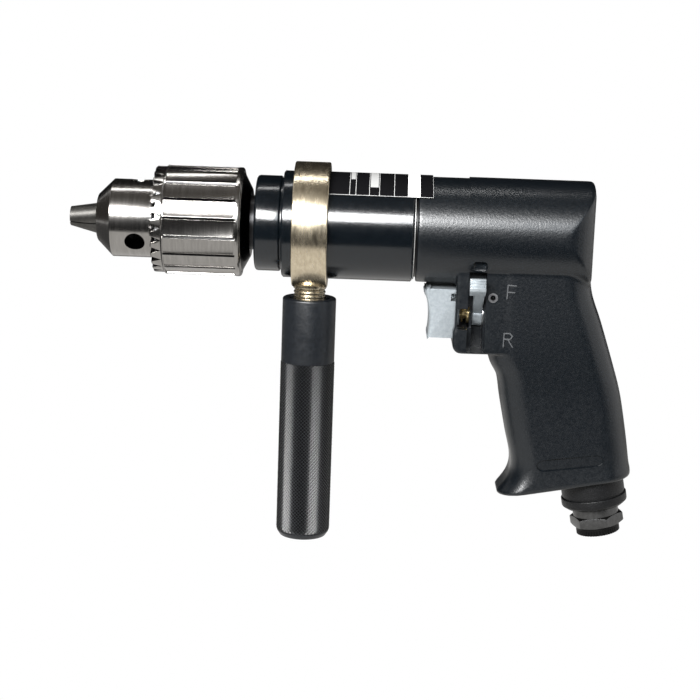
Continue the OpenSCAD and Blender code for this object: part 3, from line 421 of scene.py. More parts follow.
def chuckShade(material):  # turned steel, black oxide on the rear bevel, painted shade in the holes, tooth gaps and grooves
    c = chuck
    x, y, z = axes(material)
    radius = x.maths("SQRT", y * y + z * z)
    # painted shade, near black: inside the key holes, on the floor of the tooth gaps and in the grooves
    # between the panels
    paintedHoleShade = (abs(x - c["holeX"]) < c["holeR"] + 0.3) * (radius < c["bodyR"] - 0.5)
    paintedToothShade = (x > c["sleeve"] - 0.1) * (x < c["sleeve"] + 4.2) * (radius < c["sleeveR"] - 0.9)
    share = c["panels"] / (2 * math.pi)
    ridge = x.maths("ARCTAN2", 0.0 - y, z) * share - math.radians(c["panelTurn"]) * share - 0.5
    paintedGrooveShade = (x.maths("PINGPONG", ridge, 0.5) < c["grooveShare"]) * (  # whole at each groove
        x > c["sleeve"] + c["panelFront"] + 0.1) * (x < c["sleeveEnd"] - c["panelRear"] + 0.2)
    # black oxide on the rear bevel is the chuck's own colour; the painted shade of holes, gaps and
    # grooves is added to it below
    oxideAndPaintedShade = x > c["sleeveEnd"] + 0.4
    for area in (paintedHoleShade, paintedToothShade, paintedGrooveShade):
        oxideAndPaintedShade = x.maths("MAXIMUM", oxideAndPaintedShade, area)
    lines = noise(place(material, (1.0, 0.12, 0.12)), 900.0, 5.0)
    steel = lines.mix((0.25, 0.24, 0.225, 1.0), (0.40, 0.385, 0.37, 1.0))
    feed(material, "Base Color", oxideAndPaintedShade.mix(steel, (0.02, 0.02, 0.02, 1.0)))


def spoke(turn, x, radius):  # a point at an angle from up about the spindle axis, in mm
    a = math.radians(turn)
    return (x, -radius * math.sin(a), radius * math.cos(a))


def makeChuckBody():
    c = chuck
    land = c["sleeveR"] - c["wall"] - c["landGap"]
    outline = rounded(
        [(c["boreEnd"], 0.0), (c["boreEnd"], c["boreR"]), (c["nose"], c["boreR"]),
         (c["nose"], c["noseR"]), (c["shoulder"], c["bodyR"]), (c["nut"], c["bodyR"]),
         (c["nut"], c["nutR"]), (c["nutEnd"], c["nutR"]), (c["nutEnd"], land),
         (c["sleeveEnd"], land), (c["end"], c["bevelR"]), (c["end"], c["threadR"]),
         (c["threadEnd"], c["threadR"]), (c["threadEnd"], 0.0)],
        [0, 0, 0.3, 0.9, 0.35, 0, 0, 0, 0, 0.8, 0.4, 0.3, 0, 0])
    body = turned("chuckBody", outline, 128)
    axisR = c["jawTip"] - c["jawHalf"] / math.cos(math.radians(c["jawAngle"]))
    slope = math.tan(math.radians(c["jawAngle"]))
    for k in range(3):
        start, end = (spoke(c["jawTurn"] + 120.0 * k, x, axisR + x * slope) for x in c["jawEnds"])
        combine(body, rod("jawBore", start, end, c["jawR"], 64), "DIFFERENCE")
    for k in range(3):
        turn = c["holeTurn"] + 120.0 * k
        combine(body, rod("keyHole", spoke(turn, c["holeX"], c["holeFloor"]),
                          spoke(turn, c["holeX"], c["holeTop"]), c["holeR"], 64), "DIFFERENCE")
    soften(body, 0.22, 2, 40.0)
    smooth(body, 40.0)
    return dress(body, "spindle", "chuckSteel", "chuck_body")


def makeSleeve():
    c = chuck
    bore = c["sleeveR"] - c["wall"]
    front, back = c["sleeve"], c["sleeveEnd"]
    lip, ringR = front + c["lip"], c["sleeveR"] - c["ringDrop"]
    outline = rounded(
        [(lip, c["lipR"]), (front, c["lipR"]), (front, ringR),
         (front + c["toothStep"] - c["ringDrop"], ringR), (front + c["toothStep"], c["sleeveR"]),
         (back, c["sleeveR"]), (back, bore), (c["step"], bore), (c["step"], c["stepR"]),
         (lip, c["stepR"]), (lip, c["lipR"])],
        [0, 0.3, 0.5, 0.2, 0.25, 0.9, 0.2, 0, 0, 0, 0])
    sleeve = turned("chuckSleeve", outline, 180)
    long, wide = c["toothLong"], c["toothWide"] / 2
    mouth = wide * (long + 1.0) / long
    tooth = slab("toothGap", [(front - 1.0, mouth), (front + long - 0.5, 0.2), (front + long, 0.0),
                              (front + long - 0.5, -0.2), (front - 1.0, -mouth)], 9.0, -19.5)
    combine(sleeve, copies(tooth, c["teeth"], c["toothTurn"]), "DIFFERENCE")
    flat = c["sleeveR"] - c["panelDepth"]
    panel = block("panel", (front + c["panelFront"], -c["panelWide"] / 2, flat),
                  (back - c["panelRear"], c["panelWide"] / 2, flat + 3.0))
    edit(panel)
    pick(panel, lambda e: abs((e.verts[0].co - e.verts[1].co).z) > 2.0 * mm)
    bpy.ops.mesh.bevel(offset=c["panelRound"] * mm, segments=3, affect="EDGES")
    bpy.ops.object.mode_set(mode="OBJECT")
    combine(sleeve, copies(panel, c["panels"], c["panelTurn"]), "DIFFERENCE")
    groove = rod("groove", (front + c["panelFront"] - 0.2, 0.0, c["sleeveR"] + 0.05),
                 (back - c["panelRear"] + 0.3, 0.0, c["sleeveR"] + 0.05), c["grooveR"], 4)
    ridgeTurn = c["panelTurn"] + 180.0 / c["panels"]
    combine(sleeve, copies(groove, c["panels"], ridgeTurn), "DIFFERENCE")
    soften(sleeve, 0.1, 2, 38.0)
    smooth(sleeve, 38.0)
    return dress(sleeve, "sleeve", "chuckSteel", "chuck_sleeve")


chuckShade(materials["chuckSteel"])
makeChuckBody()
makeSleeve()
print("chuck made")


casing = {
    "collar": 74.21, "collarEnd": 84.21, "case": 85.01,  # mm along X
    "collarR": 19.0, "sealR": 12.0, "sealEnd": 76.01, "bearingR": 16.0, "grooveR": 18.2,
    "spigotR": 17.48, "spigotEnd": 92.0,
    "bandX": 89.21, "bandEnd": 103.21, "bandIn": 21.36, "bandOut": 24.96, "bandMid": 96.21,
    "neckTop": -22.4, "neckFoot": -25.4, "neckR": 6.4, "neckEnd": -31.1, "studR": 5.06,  # along Z
    "crests": 3, "crestTop": -26.4, "crestStep": 1.5, "crestHigh": 0.35,
    "handleTop": -29.3, "handleEnd": -128.3, "handleR": 11.0, "smoothLong": 26.0, "smoothStep": 0.22,
    "mouthR": 8.4, "mouthDeep": 3.3, "boreR": 5.02, "boreEnd": -59.3,
    "knurlRound": 46, "knurlRows": 48, "knurlHigh": 0.43,
}


def makeNoseCollar():
    c = casing
    outline = rounded(
        [(c["sealEnd"], c["sealR"]), (c["collar"], c["sealR"]), (c["collar"], c["collarR"]),
         (c["collarEnd"], c["collarR"]), (c["collarEnd"], c["grooveR"]), (c["case"], c["grooveR"]),
         (c["case"], c["spigotR"]), (c["spigotEnd"], c["spigotR"]), (c["spigotEnd"], c["bearingR"]),
         (c["sealEnd"], c["bearingR"]), (c["sealEnd"], c["sealR"])],
        [0, 0.3, 1.3, 0.6, 0.2, 0, 0, 0, 0, 0, 0])
    collar = smooth(turned("noseCollar", outline, 128))
    return dress(collar, "housing", "caseBlack", "nose_collar")


def makeBand():
    c = casing
    band = turned("clampBand", rounded(
        [(c["bandMid"], c["bandIn"]), (c["bandX"], c["bandIn"]), (c["bandX"], c["bandOut"]),
         (c["bandEnd"], c["bandOut"]), (c["bandEnd"], c["bandIn"]), (c["bandMid"], c["bandIn"])],
        [0, 0.25, 0.55, 0.55, 0.25, 0]), 160)
    middle, top, foot, low = c["bandMid"], c["neckTop"], c["neckFoot"], c["neckEnd"]
    root = c["neckR"] - c["crestHigh"]
    turns = []
    for k in range(c["crests"]):  # the thread that shows above the handle
        z = c["crestTop"] - c["crestStep"] * k
        turns += [(z, root), (z - 0.4, c["neckR"]), (z - 0.9, c["neckR"]), (z - 1.3, root)]
    neck = turned("bandNeck", rounded(
        [(top, 0.0), (top, 6.9), (foot, 6.75), (foot - 0.6, root)] + turns + [(low, root), (low, 0.0)],
        [0, 0, 1.2, 0.3] + [0.12] * len(turns) + [0.3, 0], 3),
        64, (middle, 0.0, 0.0), (0.0, 0.0, 1.0))
    caseRoom = rod("caseRoom", (80.0, 0.0, 0.0), (112.0, 0.0, 0.0), c["bandIn"] + 0.3, 160)
    combine(neck, caseRoom, "DIFFERENCE")
    combine(band, neck, "UNION")
    studBore = rod("studBore", (middle, 0.0, -40.0), (middle, 0.0, -10.0), c["studR"], 48)
    combine(band, studBore, "DIFFERENCE")
    smooth(band, 32.0)
    return dress(band, "clamp", "bandBronze", "clamp_band")


def makeHandle():
    c = casing
    top, bottom, r = c["handleTop"], c["handleEnd"], c["handleR"]
    ring, smoothR, mouth = top - c["smoothLong"], r - c["smoothStep"], top - c["mouthDeep"]
    core = turned("sideHandle", rounded(
        [(bottom, 0.0), (bottom, r - 1.6), (bottom + 1.9, r - 0.35), (bottom + 2.2, r - 0.4),
         (ring - 0.8, r - 0.4), (ring - 0.1, r - 0.35), (ring, smoothR), (top, smoothR),
         (top, c["mouthR"]), (mouth, c["mouthR"]), (mouth, c["boreR"]), (c["boreEnd"], c["boreR"]),
         (c["boreEnd"], 0.0)],
        [0, 0.5, 0.3, 0, 0, 0, 0.05, 0.9, 0.5, 0.3, 0.2, 0, 0]),
        96, (c["bandMid"], 0.0, 0.0), (0.0, 0.0, 1.0))
    makeKnurl(bottom + 2.0, ring - 0.05)
    smooth(core, 25.0)
    return dress(core, "handle", "handleBlack", "side_handle")


def makeKnurl(low, high):  # a grid wrapped round, its cells turned to diamonds and raised to points
    c = casing
    bpy.ops.mesh.primitive_grid_add(x_subdivisions=c["knurlRound"], y_subdivisions=c["knurlRows"],
                                    size=1.0)
    knurl = bpy.context.object
    bpy.ops.object.mode_set(mode="EDIT")
    bpy.ops.mesh.select_all(action="SELECT")
    bpy.ops.mesh.poke()
    pick(knurl, lambda e: not e.is_boundary and min(
        abs(e.verts[0].co.x - e.verts[1].co.x), abs(e.verts[0].co.y - e.verts[1].co.y)) < 1e-6)
    bpy.ops.mesh.dissolve_edges(use_verts=False)
    bpy.ops.mesh.select_all(action="SELECT")
    bpy.ops.mesh.poke()
    bpy.ops.object.mode_set(mode="OBJECT")
    for vert in knurl.data.vertices:
        across, up = vert.co.x + 0.5, vert.co.y + 0.5
        peak = (round(across * c["knurlRound"] * 2) + round(up * c["knurlRows"] * 2)) % 2
        turn, z = 2 * math.pi * across, low + (high - low) * up
        edge = min(1.0, (z - low) / 0.9, (high - z) / 0.3)  # the points fade at both ends
        radius = c["handleR"] + c["knurlHigh"] * (peak * edge - 1.0)
        vert.co = Vector((c["bandMid"] + radius * math.cos(turn), radius * math.sin(turn), z)) * mm
    clean(knurl)
    settle(knurl, "handleKnurl")
    return dress(knurl, "handle", "knurlBlack")


makeNoseCollar()
makeBand()
makeHandle()
print("collar, band and handle made")


shell = {
    "barrel": 138.21, "barrelEnd": 207.71, "barrelR": 21.2, "rearRound": 12.0,  # mm
    "spigot": 130.31, "spigotR": 18.56, "boreR": 17.82, "boreEnd": 190.81, "reliefR": 12.0,
    "blockX": 154.4, "blockLowX": 153.8, "blockStep": -37.6, "blockEnd": -47.5, "blockHalf": 15.2,
    "stemZ": -33.5, "pocketEnd": 160.31, "slot": (161.11, 165.81), "slotLow": -47.0,
    "pocketHalf": 9.4, "pocketLow": -42.7, "pocketTop": -21.1, "pinSpot": (168.91, -24.5), "pinR": 1.92,
    "scoop": (160.2, 166.2), "scoopY": -19.1, "scoopZ": -13.1, "scoopR": 3.2,
    "labelEnd": 158.41, "labelDeep": 0.5, "labelAngles": (40.0, 140.0),
    "rows": [  # the grip from top to bottom: front x and z, rear x and z, half width
        (166.0, -10.0, 207.2, -10.0, 15.6), (166.2, -28.0, 208.6, -22.0, 15.6),
        (168.4, -48.6, 213.0, -34.0, 15.6), (172.6, -57.6, 218.6, -50.4, 15.3),
        (174.5, -67.5, 222.5, -63.0, 15.0), (177.4, -81.0, 225.7, -79.0, 15.3),
        (179.9, -91.9, 227.5, -90.0, 15.6), (178.8, -98.8, 228.2, -93.0, 15.9),
        (174.6, -105.2, 228.5, -95.0, 16.2)],
    "cornerR": 11.0, "voxel": 0.62, "passes": 12,
    "sideY": -15.6, "letterHigh": 0.3, "stroke": 0.42,
    "letters": [  # the ends of each stroke, x and z
        ((174.5, -19.2), (174.3, -24.5)), ((174.5, -19.2), (177.7, -19.3)),
        ((174.5, -21.9), (177.2, -22.0)), ((173.9, -38.4), (173.8, -43.7)),
        ((173.9, -38.4), (176.3, -38.4)), ((176.3, -38.4), (177.2, -39.4)),
        ((177.2, -39.4), (176.3, -40.7)), ((176.3, -40.7), (173.9, -40.7)),
        ((175.4, -40.7), (177.4, -43.7))],
    "pillSpot": (202.85, -90.16), "pillTilt": 10.97, "pillLong": 28.8, "pillR": 3.2,
    "pillFloor": 14.95, "pillDeep": 3.0, "pillTaper": (0.92, 0.62),
    "inletSpot": (214.91, 0.0, -106.05), "inletUp": (-0.18224, 0.0, 0.98325),
}


def alongRows(share):  # a smooth way through the rows of the grip
    rows = shell["rows"]
    at = share * (len(rows) - 1)
    i = min(int(at), len(rows) - 2)
    t = at - i
    before, start = rows[max(i - 1, 0)], rows[i]
    end, after = rows[i + 1], rows[min(i + 2, len(rows) - 1)]
    return [0.5 * (2 * b + (c - a) * t + (2 * a - 5 * b + 4 * c - d) * t * t
                   + (3 * b - a - 3 * c + d) * t * t * t)
            for a, b, c, d in zip(before, start, end, after)]


def ringPoints(row, inset=0.0, drop=0.0):  # a rounded box across the grip
    front, rear = Vector((row[0], 0.0, row[1])), Vector((row[2], 0.0, row[3]))
    run = rear - front
    along, down = run.normalized(), Vector((run.z, 0.0, -run.x)).normalized()
    halfLong, halfWide = run.length / 2 - inset, row[4] - inset
    r = shell["cornerR"] - inset
    points = []
    for k in range(48):
        a = 2 * math.pi * (k + 0.5) / 48
        x = math.copysign(halfLong - r, math.cos(a)) + r * math.cos(a)
        y = math.copysign(halfWide - r, math.sin(a)) + r * math.sin(a)
        points.append(((front + rear) / 2 + along * x + down * drop + Vector((0.0, y, 0.0))) * mm)
    return points


def makeGrip():
    rings = [ringPoints(alongRows(k / 36)) for k in range(37)]
    last = shell["rows"][-1]
    rings += [ringPoints(last, 0.35, 0.7), ringPoints(last, 1.2, 1.1), ringPoints(last, 3.0, 1.2)]
    bpy.ops.mesh.primitive_circle_add(vertices=len(rings[0]), radius=mm, fill_type="NGON")
    grip = bpy.context.object
    bpy.ops.object.mode_set(mode="EDIT")
    bpy.ops.mesh.select_mode(type="VERT")
    bpy.ops.mesh.select_all(action="SELECT")
    for i, ring in enumerate(rings):
        if i:
            bpy.ops.mesh.extrude_region_move()
        mesh = bmesh.from_edit_mesh(grip.data)
        picked = [v for v in mesh.verts if v.select]
        for k, vert in enumerate(picked):  # a new ring starts on the one before it
            if i:
                k = min(range(len(ring)), key=lambda n: (rings[i - 1][n] - vert.co).length_squared)
            vert.co = ring[k]
        bmesh.update_edit_mesh(grip.data)
    bpy.ops.object.mode_set(mode="OBJECT")
    return clean(settle(grip, "grip"))


def sectorRing(name, start, end, inner, outer, low, high):
    # part of a ring about the spindle's axis, with angles from the near side up
    bpy.ops.mesh.primitive_plane_add(size=1.0)
    ring = bpy.context.object
    turn = math.radians(low)
    bpy.ops.object.mode_set(mode="EDIT")
    bpy.ops.mesh.select_mode(type="VERT")
    mesh = bmesh.from_edit_mesh(ring.data)
    for vert in mesh.verts:
        x, r = (start if vert.co.x < 0 else end), (inner if vert.co.y < 0 else outer)
        vert.co = (x * mm, -r * math.cos(turn) * mm, r * math.sin(turn) * mm)
    bmesh.update_edit_mesh(ring.data)
    bpy.ops.mesh.select_all(action="SELECT")
    bpy.ops.mesh.spin(steps=64, angle=math.radians(high - low), center=(0.0, 0.0, 0.0),
                      axis=(1.0, 0.0, 0.0))
    bpy.ops.object.mode_set(mode="OBJECT")
    return clean(settle(ring, name))


def makeBarrel():
    s = shell
    end, r, rear = s["barrelEnd"], s["barrelR"], s["rearRound"]
    barrel = turned("barrel", rounded(
        [(s["barrel"], 0.0), (s["barrel"], r), (end, r), (end, 0.0)], [0, 0.3, 1.5, 0]), 160)
    plan = [(s["barrel"] - 2.0, -r - 1.0), (s["barrel"] - 2.0, r + 1.0),
            (end - rear, r + 1.0), (end - rear, r)]
    for k in range(17):
        a = math.pi / 2 * (1 - k / 8)
        middle = (r - rear) if k <= 8 else -(r - rear)
        plan.append((end - rear + rear * math.cos(a), middle + rear * math.sin(a)))
    plan += [(end - rear, -r), (end - rear, -r - 1.0)]
    bound = slab("barrelPlan", plan, 60.0)
    bound.rotation_euler = (math.radians(-90), 0.0, 0.0)
    settle(bound, "barrelPlan")
    return combine(barrel, bound, "INTERSECT")


def makeBlock():
    s = shell
    outline = rounded(
        [(170.0, -8.0), (s["blockX"], -8.0), (s["blockX"], s["blockStep"]),
         (s["blockLowX"], s["blockStep"] - 0.6), (s["blockLowX"], s["blockEnd"]),
         (176.0, s["blockEnd"] + 0.2), (184.0, -30.0), (170.0, -8.0)],
        [0, 0, 0.3, 0.3, 3.4, 0, 0, 0], 6)
    return soften(slab("triggerBlock", outline[:-1], 2 * s["blockHalf"]), 1.1, 3, 40.0)


def stroke(ends):  # one raised line of a letter
    (x0, z0), (x1, z1) = ends
    half, face = shell["stroke"] / 2, shell["sideY"] - shell["letterHigh"]
    long = math.hypot(x1 - x0, z1 - z0)
    bar = block("letterStroke", (-half, face, -half), (long + half, face + 2.4, half))
    bar.rotation_euler = (0.0, -math.atan2(z1 - z0, x1 - x0), 0.0)
    bar.location = Vector((x0, 0.0, z0)) * mm
    return settle(bar, "letterStroke")


def makeLetters():
    first, *others = [stroke(ends) for ends in shell["letters"]]
    for other in others:
        combine(first, other, "UNION")
    settle(first, "sideLetters")
    return dress(soften(first, 0.12, 2, 50.0), "housing", "letterGrey")


def inletBar(name, start, end, radius):  # a bar on the inlet's axis, heights above the collar's top
    spot, up = Vector(shell["inletSpot"]), Vector(shell["inletUp"])
    return rod(name, spot + up * start, spot + up * end, radius, 64)


def makeCuts():
    s = shell
    z, (slotX, slotEnd), half = s["stemZ"], s["slot"], s["pocketHalf"]
    pinX, pinZ = s["pinSpot"]
    return [
        rod("motorBore", (s["spigot"] - 1.0, 0.0, 0.0), (s["boreEnd"], 0.0, 0.0), s["boreR"], 96),
        rod("relief", (s["boreEnd"] - 1.0, 0.0, 0.0), (s["boreEnd"] + 5.0, 0.0, 0.0), s["reliefR"], 64),
        block("pocket", (150.0, -half, s["pocketLow"]), (s["pocketEnd"], half, s["pocketTop"])),
        block("window", (155.2, -16.0, z - 4.1), (slotX + 0.2, -half + 0.5, z + 4.2)),
        block("slot", (slotX, -16.0, s["slotLow"]), (slotEnd, 0.0, z + 13.5)),
        block("sideSlot", (slotX - 1.9, -17.5, s["slotLow"]), (slotEnd + 0.4, -10.0, z + 18.9)),
        rod("hubRoom", (slotX, 0.0, z), (slotEnd, 0.0, z), 5.1, 48),
        rod("bushRoom", (s["pocketEnd"] - 0.2, 0.0, z), (slotX + 0.2, 0.0, z), 3.4, 32),
        rod("valveRoom", (slotEnd - 0.2, 0.0, z), (181.0, 0.0, z), 6.06, 48),
        rod("chamber", (180.8, 0.0, z), (200.8, 0.0, z), 7.0, 48),
        rod("pinHole", (pinX, -20.0, pinZ), (pinX, -5.2, pinZ), s["pinR"], 48),
        inletBar("collarRoom", -3.0, 13.5, 12.82), inletBar("bushingRoom", 13.0, 28.6, 8.02),
        inletBar("airway", 28.0, 74.0, 4.2),
        sectorRing("labelPlace", s["barrel"] - 1.0, s["labelEnd"], s["barrelR"] - s["labelDeep"],
                   s["barrelR"] + 2.0, *s["labelAngles"]),
    ]


def pillCut():  # the bare sunk frame low on the grip's near side
    s = shell
    (x0, z0), tilt = s["pillSpot"], math.radians(s["pillTilt"])
    half, r, (narrowX, narrowZ) = s["pillLong"] / 2 - s["pillR"], s["pillR"], s["pillTaper"]
    outline = []
    for k in range(32):
        a = 2 * math.pi * (k + 0.5) / 32
        u, v = math.copysign(half, math.cos(a)) + r * math.cos(a), r * math.sin(a)
        outline.append((x0 + u * math.cos(tilt) - v * math.sin(tilt),
                        z0 + u * math.sin(tilt) + v * math.cos(tilt)))
    cut = slab("pill", outline, s["pillDeep"], -s["pillFloor"] - s["pillDeep"] / 2)
    for vert in cut.data.vertices:
        if vert.co.y > (-s["pillFloor"] - 1.0) * mm:  # the floor is smaller than the mouth
            vert.co.x = x0 * mm + (vert.co.x - x0 * mm) * narrowX
            vert.co.z = z0 * mm + (vert.co.z - z0 * mm) * narrowZ
    return cut


def makeHousing():
    s = shell
    body = joined(makeBarrel(), makeBlock(), makeGrip())
    body.data.remesh_voxel_size = s["voxel"] * mm
    only(body)
    bpy.ops.object.voxel_remesh()
    modify(body, "SMOOTH", factor=0.5, iterations=s["passes"])
    start, end = ((x, s["scoopY"], s["scoopZ"]) for x in s["scoop"])
    scoop = rod("scoop", start, end, s["scoopR"], 48)  # a hollow above the lever
    combine(body, soften(scoop, 1.6, 5), "DIFFERENCE")
    start, end, r = s["spigot"], s["barrel"] + 0.4, s["spigotR"]
    front = turned("spigot", [(start, 0.0), (start, r), (end, r), (end, 0.0)], 128)
    combine(body, front, "UNION")
    for cut in makeCuts() + [pillCut()]:
        combine(body, cut, "DIFFERENCE")
    settle(body, "motorHousing")
    smooth(body, 40.0)
    return dress(body, "housing", "blackPaint", "motor_housing")


makeHousing()
makeLetters()
print("housing made")


switch = {
    "front": 142.21, "back": 154.61, "top": -22.7, "bottom": -42.3, "half": 9.0,  # the trigger, mm
    "hollowMid": -33.1, "hollowHalf": 8.74, "hollowDeep": 1.1, "frontLean": 1.6, "leanEnd": 147.0,
    "frontRound": 1.6, "roundEnd": 146.0, "tongue": 1.9, "tongueHalf": 4.1, "tongueWide": 5.2,
    "stemHole": 148.41, "stemR": 2.22, "springHole": 148.6, "springR": 4.0, "holeEnd": 157.0,
    "stemZ": -33.5, "leverX": 161.36, "leverEnd": 165.56, "leverTurn": 35.0, "reach": 24.4,
    "padX": 159.36, "padDeep": 5.0, "padLong": 5.6, "ribs": 4, "ribHigh": 0.5,
    "hubR": 4.8, "hubBoreR": 2.5,
}


def makeTrigger():
    s = switch
    arc = (s["hollowHalf"] ** 2 + s["hollowDeep"] ** 2) / (2 * s["hollowDeep"])
    outline = [(s["back"], s["bottom"]), (s["back"], s["top"]), (s["front"], s["top"])]
    for k in range(17):  # the hollow for the finger
        z = s["hollowMid"] + s["hollowHalf"] * (1 - k / 8)
        x = s["front"] + s["hollowDeep"] - arc + math.sqrt(arc ** 2 - (z - s["hollowMid"]) ** 2)
        outline.append((x, z))
    outline.append((s["front"], s["bottom"]))
    slope = s["frontLean"] / (s["top"] - s["bottom"])
    outline = [(x + slope * (s["top"] - z) * (x < s["leanEnd"]), z) for x, z in outline]
    trigger = slab("triggerPiece", rounded(outline, [0, 0, 1.5] + [0] * 17 + [1.3]), 2 * s["half"])
    edit(trigger)
    pick(trigger, lambda e: all(  # the front's side edges
        abs(v.co.y) > (s["half"] - 0.1) * mm and v.co.x < s["roundEnd"] * mm
        and v.co.z < (s["top"] - 0.2) * mm for v in e.verts))
    bpy.ops.mesh.bevel(offset=s["frontRound"] * mm, segments=6, affect="EDGES")
    bpy.ops.object.mode_set(mode="OBJECT")
    soften(trigger, 0.5, 3, 50.0)
    tongue = block("tongue", (s["back"] - 1.0, -s["tongueWide"], s["stemZ"] - s["tongueHalf"]),
                   (s["back"] + s["tongue"], s["tongueWide"], s["stemZ"] + s["tongueHalf"]))
    combine(trigger, soften(tongue, 0.3), "UNION")
    combine(trigger, block("notch", (152.71, -9.5, -27.4), (155.0, -2.0, -24.3)), "DIFFERENCE")
    for name, start, radius, sides in (("stemBore", s["stemHole"], s["stemR"], 32),
                                       ("springRoom", s["springHole"], s["springR"], 48)):
        hole = rod(name, (start, 0.0, s["stemZ"]), (s["holeEnd"], 0.0, s["stemZ"]), radius, sides)
        combine(trigger, hole, "DIFFERENCE")
    smooth(trigger, 40.0)
    return dress(trigger, "trigger", "zincCasting", "trigger")


def makeLever():
    s = switch
    face, back = -s["reach"] - s["padDeep"] / 2, -s["reach"] + s["padDeep"] / 2
    half, pitch = s["padLong"] / 2, s["padLong"] / (s["ribs"] + 0.6)
    outline = [(back, half), (back, -half), (face + 0.9, -half)]
    for k in range(s["ribs"]):
        z = -half + 0.3 * pitch + k * pitch
        outline += [(face + s["ribHigh"], z), (face, z + 0.25 * pitch), (face, z + 0.7 * pitch),
                    (face + s["ribHigh"], z + 0.9 * pitch)]
    outline.append((face + 0.9, half))
    pad = slab("leverPiece", outline, s["leverEnd"] - s["padX"], -(s["padX"] + s["leverEnd"]) / 2)
    pad.rotation_euler = (0.0, 0.0, math.radians(90))
    settle(pad, "leverPiece")
    soften(pad, 0.14, 2)
    arm = block("arm", (s["leverX"], -s["reach"], -2.0), (s["leverEnd"], 0.0, 2.0))
    combine(pad, soften(arm, 0.5, 3), "UNION")
    hub = rod("hub", (s["leverX"], 0.0, 0.0), (s["leverEnd"], 0.0, 0.0), s["hubR"], 64)
    combine(pad, soften(hub, 0.5, 3), "UNION")
    hubBore = rod("hubBore", (150.0, 0.0, 0.0), (170.0, 0.0, 0.0), s["hubBoreR"], 48)
    combine(pad, hubBore, "DIFFERENCE")
    pad.rotation_euler = (math.radians(-s["leverTurn"]), 0.0, 0.0)
    pad.location = (0.0, 0.0, s["stemZ"] * mm)
    settle(pad, "leverPiece")
    smooth(pad, 35.0)
    return dress(pad, "lever", "zincCasting", "reverse_lever")


inlet = {  # mm above the collar's top, along the inlet's axis
    "collarR": 13.3, "footR": 11.5, "neckR": 12.8, "neckHigh": 13.5, "floor": -4.8, "lip": -3.4,
    "innerR": 8.02, "hollowR": 11.3, "shelf": 0.05, "seam": -0.15, "seamDeep": 0.25,
    "outlets": 8, "outletSpread": 10.4, "outletR": 0.7,
    "bushR": 8.0, "bushTop": 28.0, "seal": (16.9, 19.1), "sealR": 7.0, "steelR": 9.3,
    "hexTop": -8.3, "hexEnd": -13.0, "hexFlats": 19.0, "hexTurn": 46.0, "hexBevel": 0.85,
    "threadR": 5.6, "threadLong": 15.6, "airR": 4.9, "spigotR": 6.66, "spigotDeep": 3.6,
}


def onInlet(name, outline, steps):
    return turned(name, outline, steps, shell["inletSpot"], shell["inletUp"])


def makeCollar():
    i = inlet
    seamR = i["neckR"] - i["seamDeep"]
    collar = onInlet("exhaustCollar", rounded(
        [(i["floor"], i["innerR"]), (i["floor"], i["footR"]), (i["lip"], i["collarR"]),
         (i["seam"], i["collarR"]), (i["seam"], seamR), (i["seam"] + 0.5, seamR),
         (i["seam"] + 0.65, i["neckR"]), (i["neckHigh"], i["neckR"]), (i["neckHigh"], i["hollowR"]),
         (i["shelf"], i["hollowR"]), (i["shelf"], i["innerR"]), (i["floor"], i["innerR"])],
        [0, 0.8, 1.0, 0.35, 0, 0, 0, 0.2, 0, 0, 0, 0]), 128)
    up = Vector(shell["inletUp"])
    for k in range(i["outlets"]):
        turn = 2 * math.pi * k / i["outlets"]
        side = Vector((up.z * math.cos(turn), math.sin(turn), -up.x * math.cos(turn)))
        spot = Vector(shell["inletSpot"]) + side * i["outletSpread"]
        combine(collar, rod("outlet", spot - up * 7.0, spot + up, i["outletR"], 16), "DIFFERENCE")
    smooth(collar, 35.0)
    return dress(collar, "housing", "deflectorGrey", "exhaust_deflector")


def makeBushing():
    i = inlet
    top, end, flat = i["hexTop"], i["hexEnd"], i["hexFlats"] / 2
    foot, rim, thread, (seal, sealEnd) = top - 1.0, i["floor"] + 0.02, end + i["threadLong"], i["seal"]
    bushing = onInlet("inletBushing", rounded(
        [(foot, 6.7), (foot, i["steelR"]), (rim, i["steelR"]), (rim, i["bushR"]), (seal, i["bushR"]),
         (seal, i["sealR"]), (sealEnd, i["sealR"]), (sealEnd, i["bushR"]), (i["bushTop"], i["bushR"]),
         (i["bushTop"], i["airR"]), (thread, i["airR"]), (thread, i["threadR"]), (foot, i["threadR"]),
         (foot, 6.7)],
        [0, 0, 0.3, 0, 0, 0, 0, 0, 0.4, 0, 0, 0, 0, 0]), 96)
    corner = flat / math.cos(math.radians(30))
    up, spot = Vector(shell["inletUp"]), Vector(shell["inletSpot"])
    bpy.ops.mesh.primitive_cylinder_add(vertices=6, radius=corner * mm, depth=(top - end) * mm)
    hexagon = bpy.context.object
    lean = Matrix.Rotation(math.asin(up.x), 4, "Y")
    turn = Matrix.Rotation(math.radians(i["hexTurn"] - 30.0), 4, "Z")
    middle = Matrix.Translation((spot + up * ((top + end) / 2)) * mm)
    hexagon.matrix_world = middle @ lean @ turn
    settle(hexagon, "hexagon")
    cone = onInlet("hexCone", [
        (end, 0.0), (end, flat - 0.3), (end + i["hexBevel"], corner + 0.1),
        (top - i["hexBevel"], corner + 0.1), (top, flat - 0.3), (top, 0.0)], 96)
    combine(hexagon, cone, "INTERSECT")
    soften(hexagon, 0.16, 2, 25.0)
    for name, low, high, r in (("spigotRoom", end - 1.0, end + i["spigotDeep"], i["spigotR"]),
                               ("threadRoom", end, top + 1.0, i["threadR"])):
        room = onInlet(name, [(low, 0.0), (low, r), (high, r), (high, 0.0)], 64)
        combine(hexagon, room, "DIFFERENCE")
    joined(bushing, hexagon)
    settle(bushing, "inletBushing")
    smooth(bushing, 25.0)
    return dress(bushing, "housing", "darkSteel", "inlet_bushing")


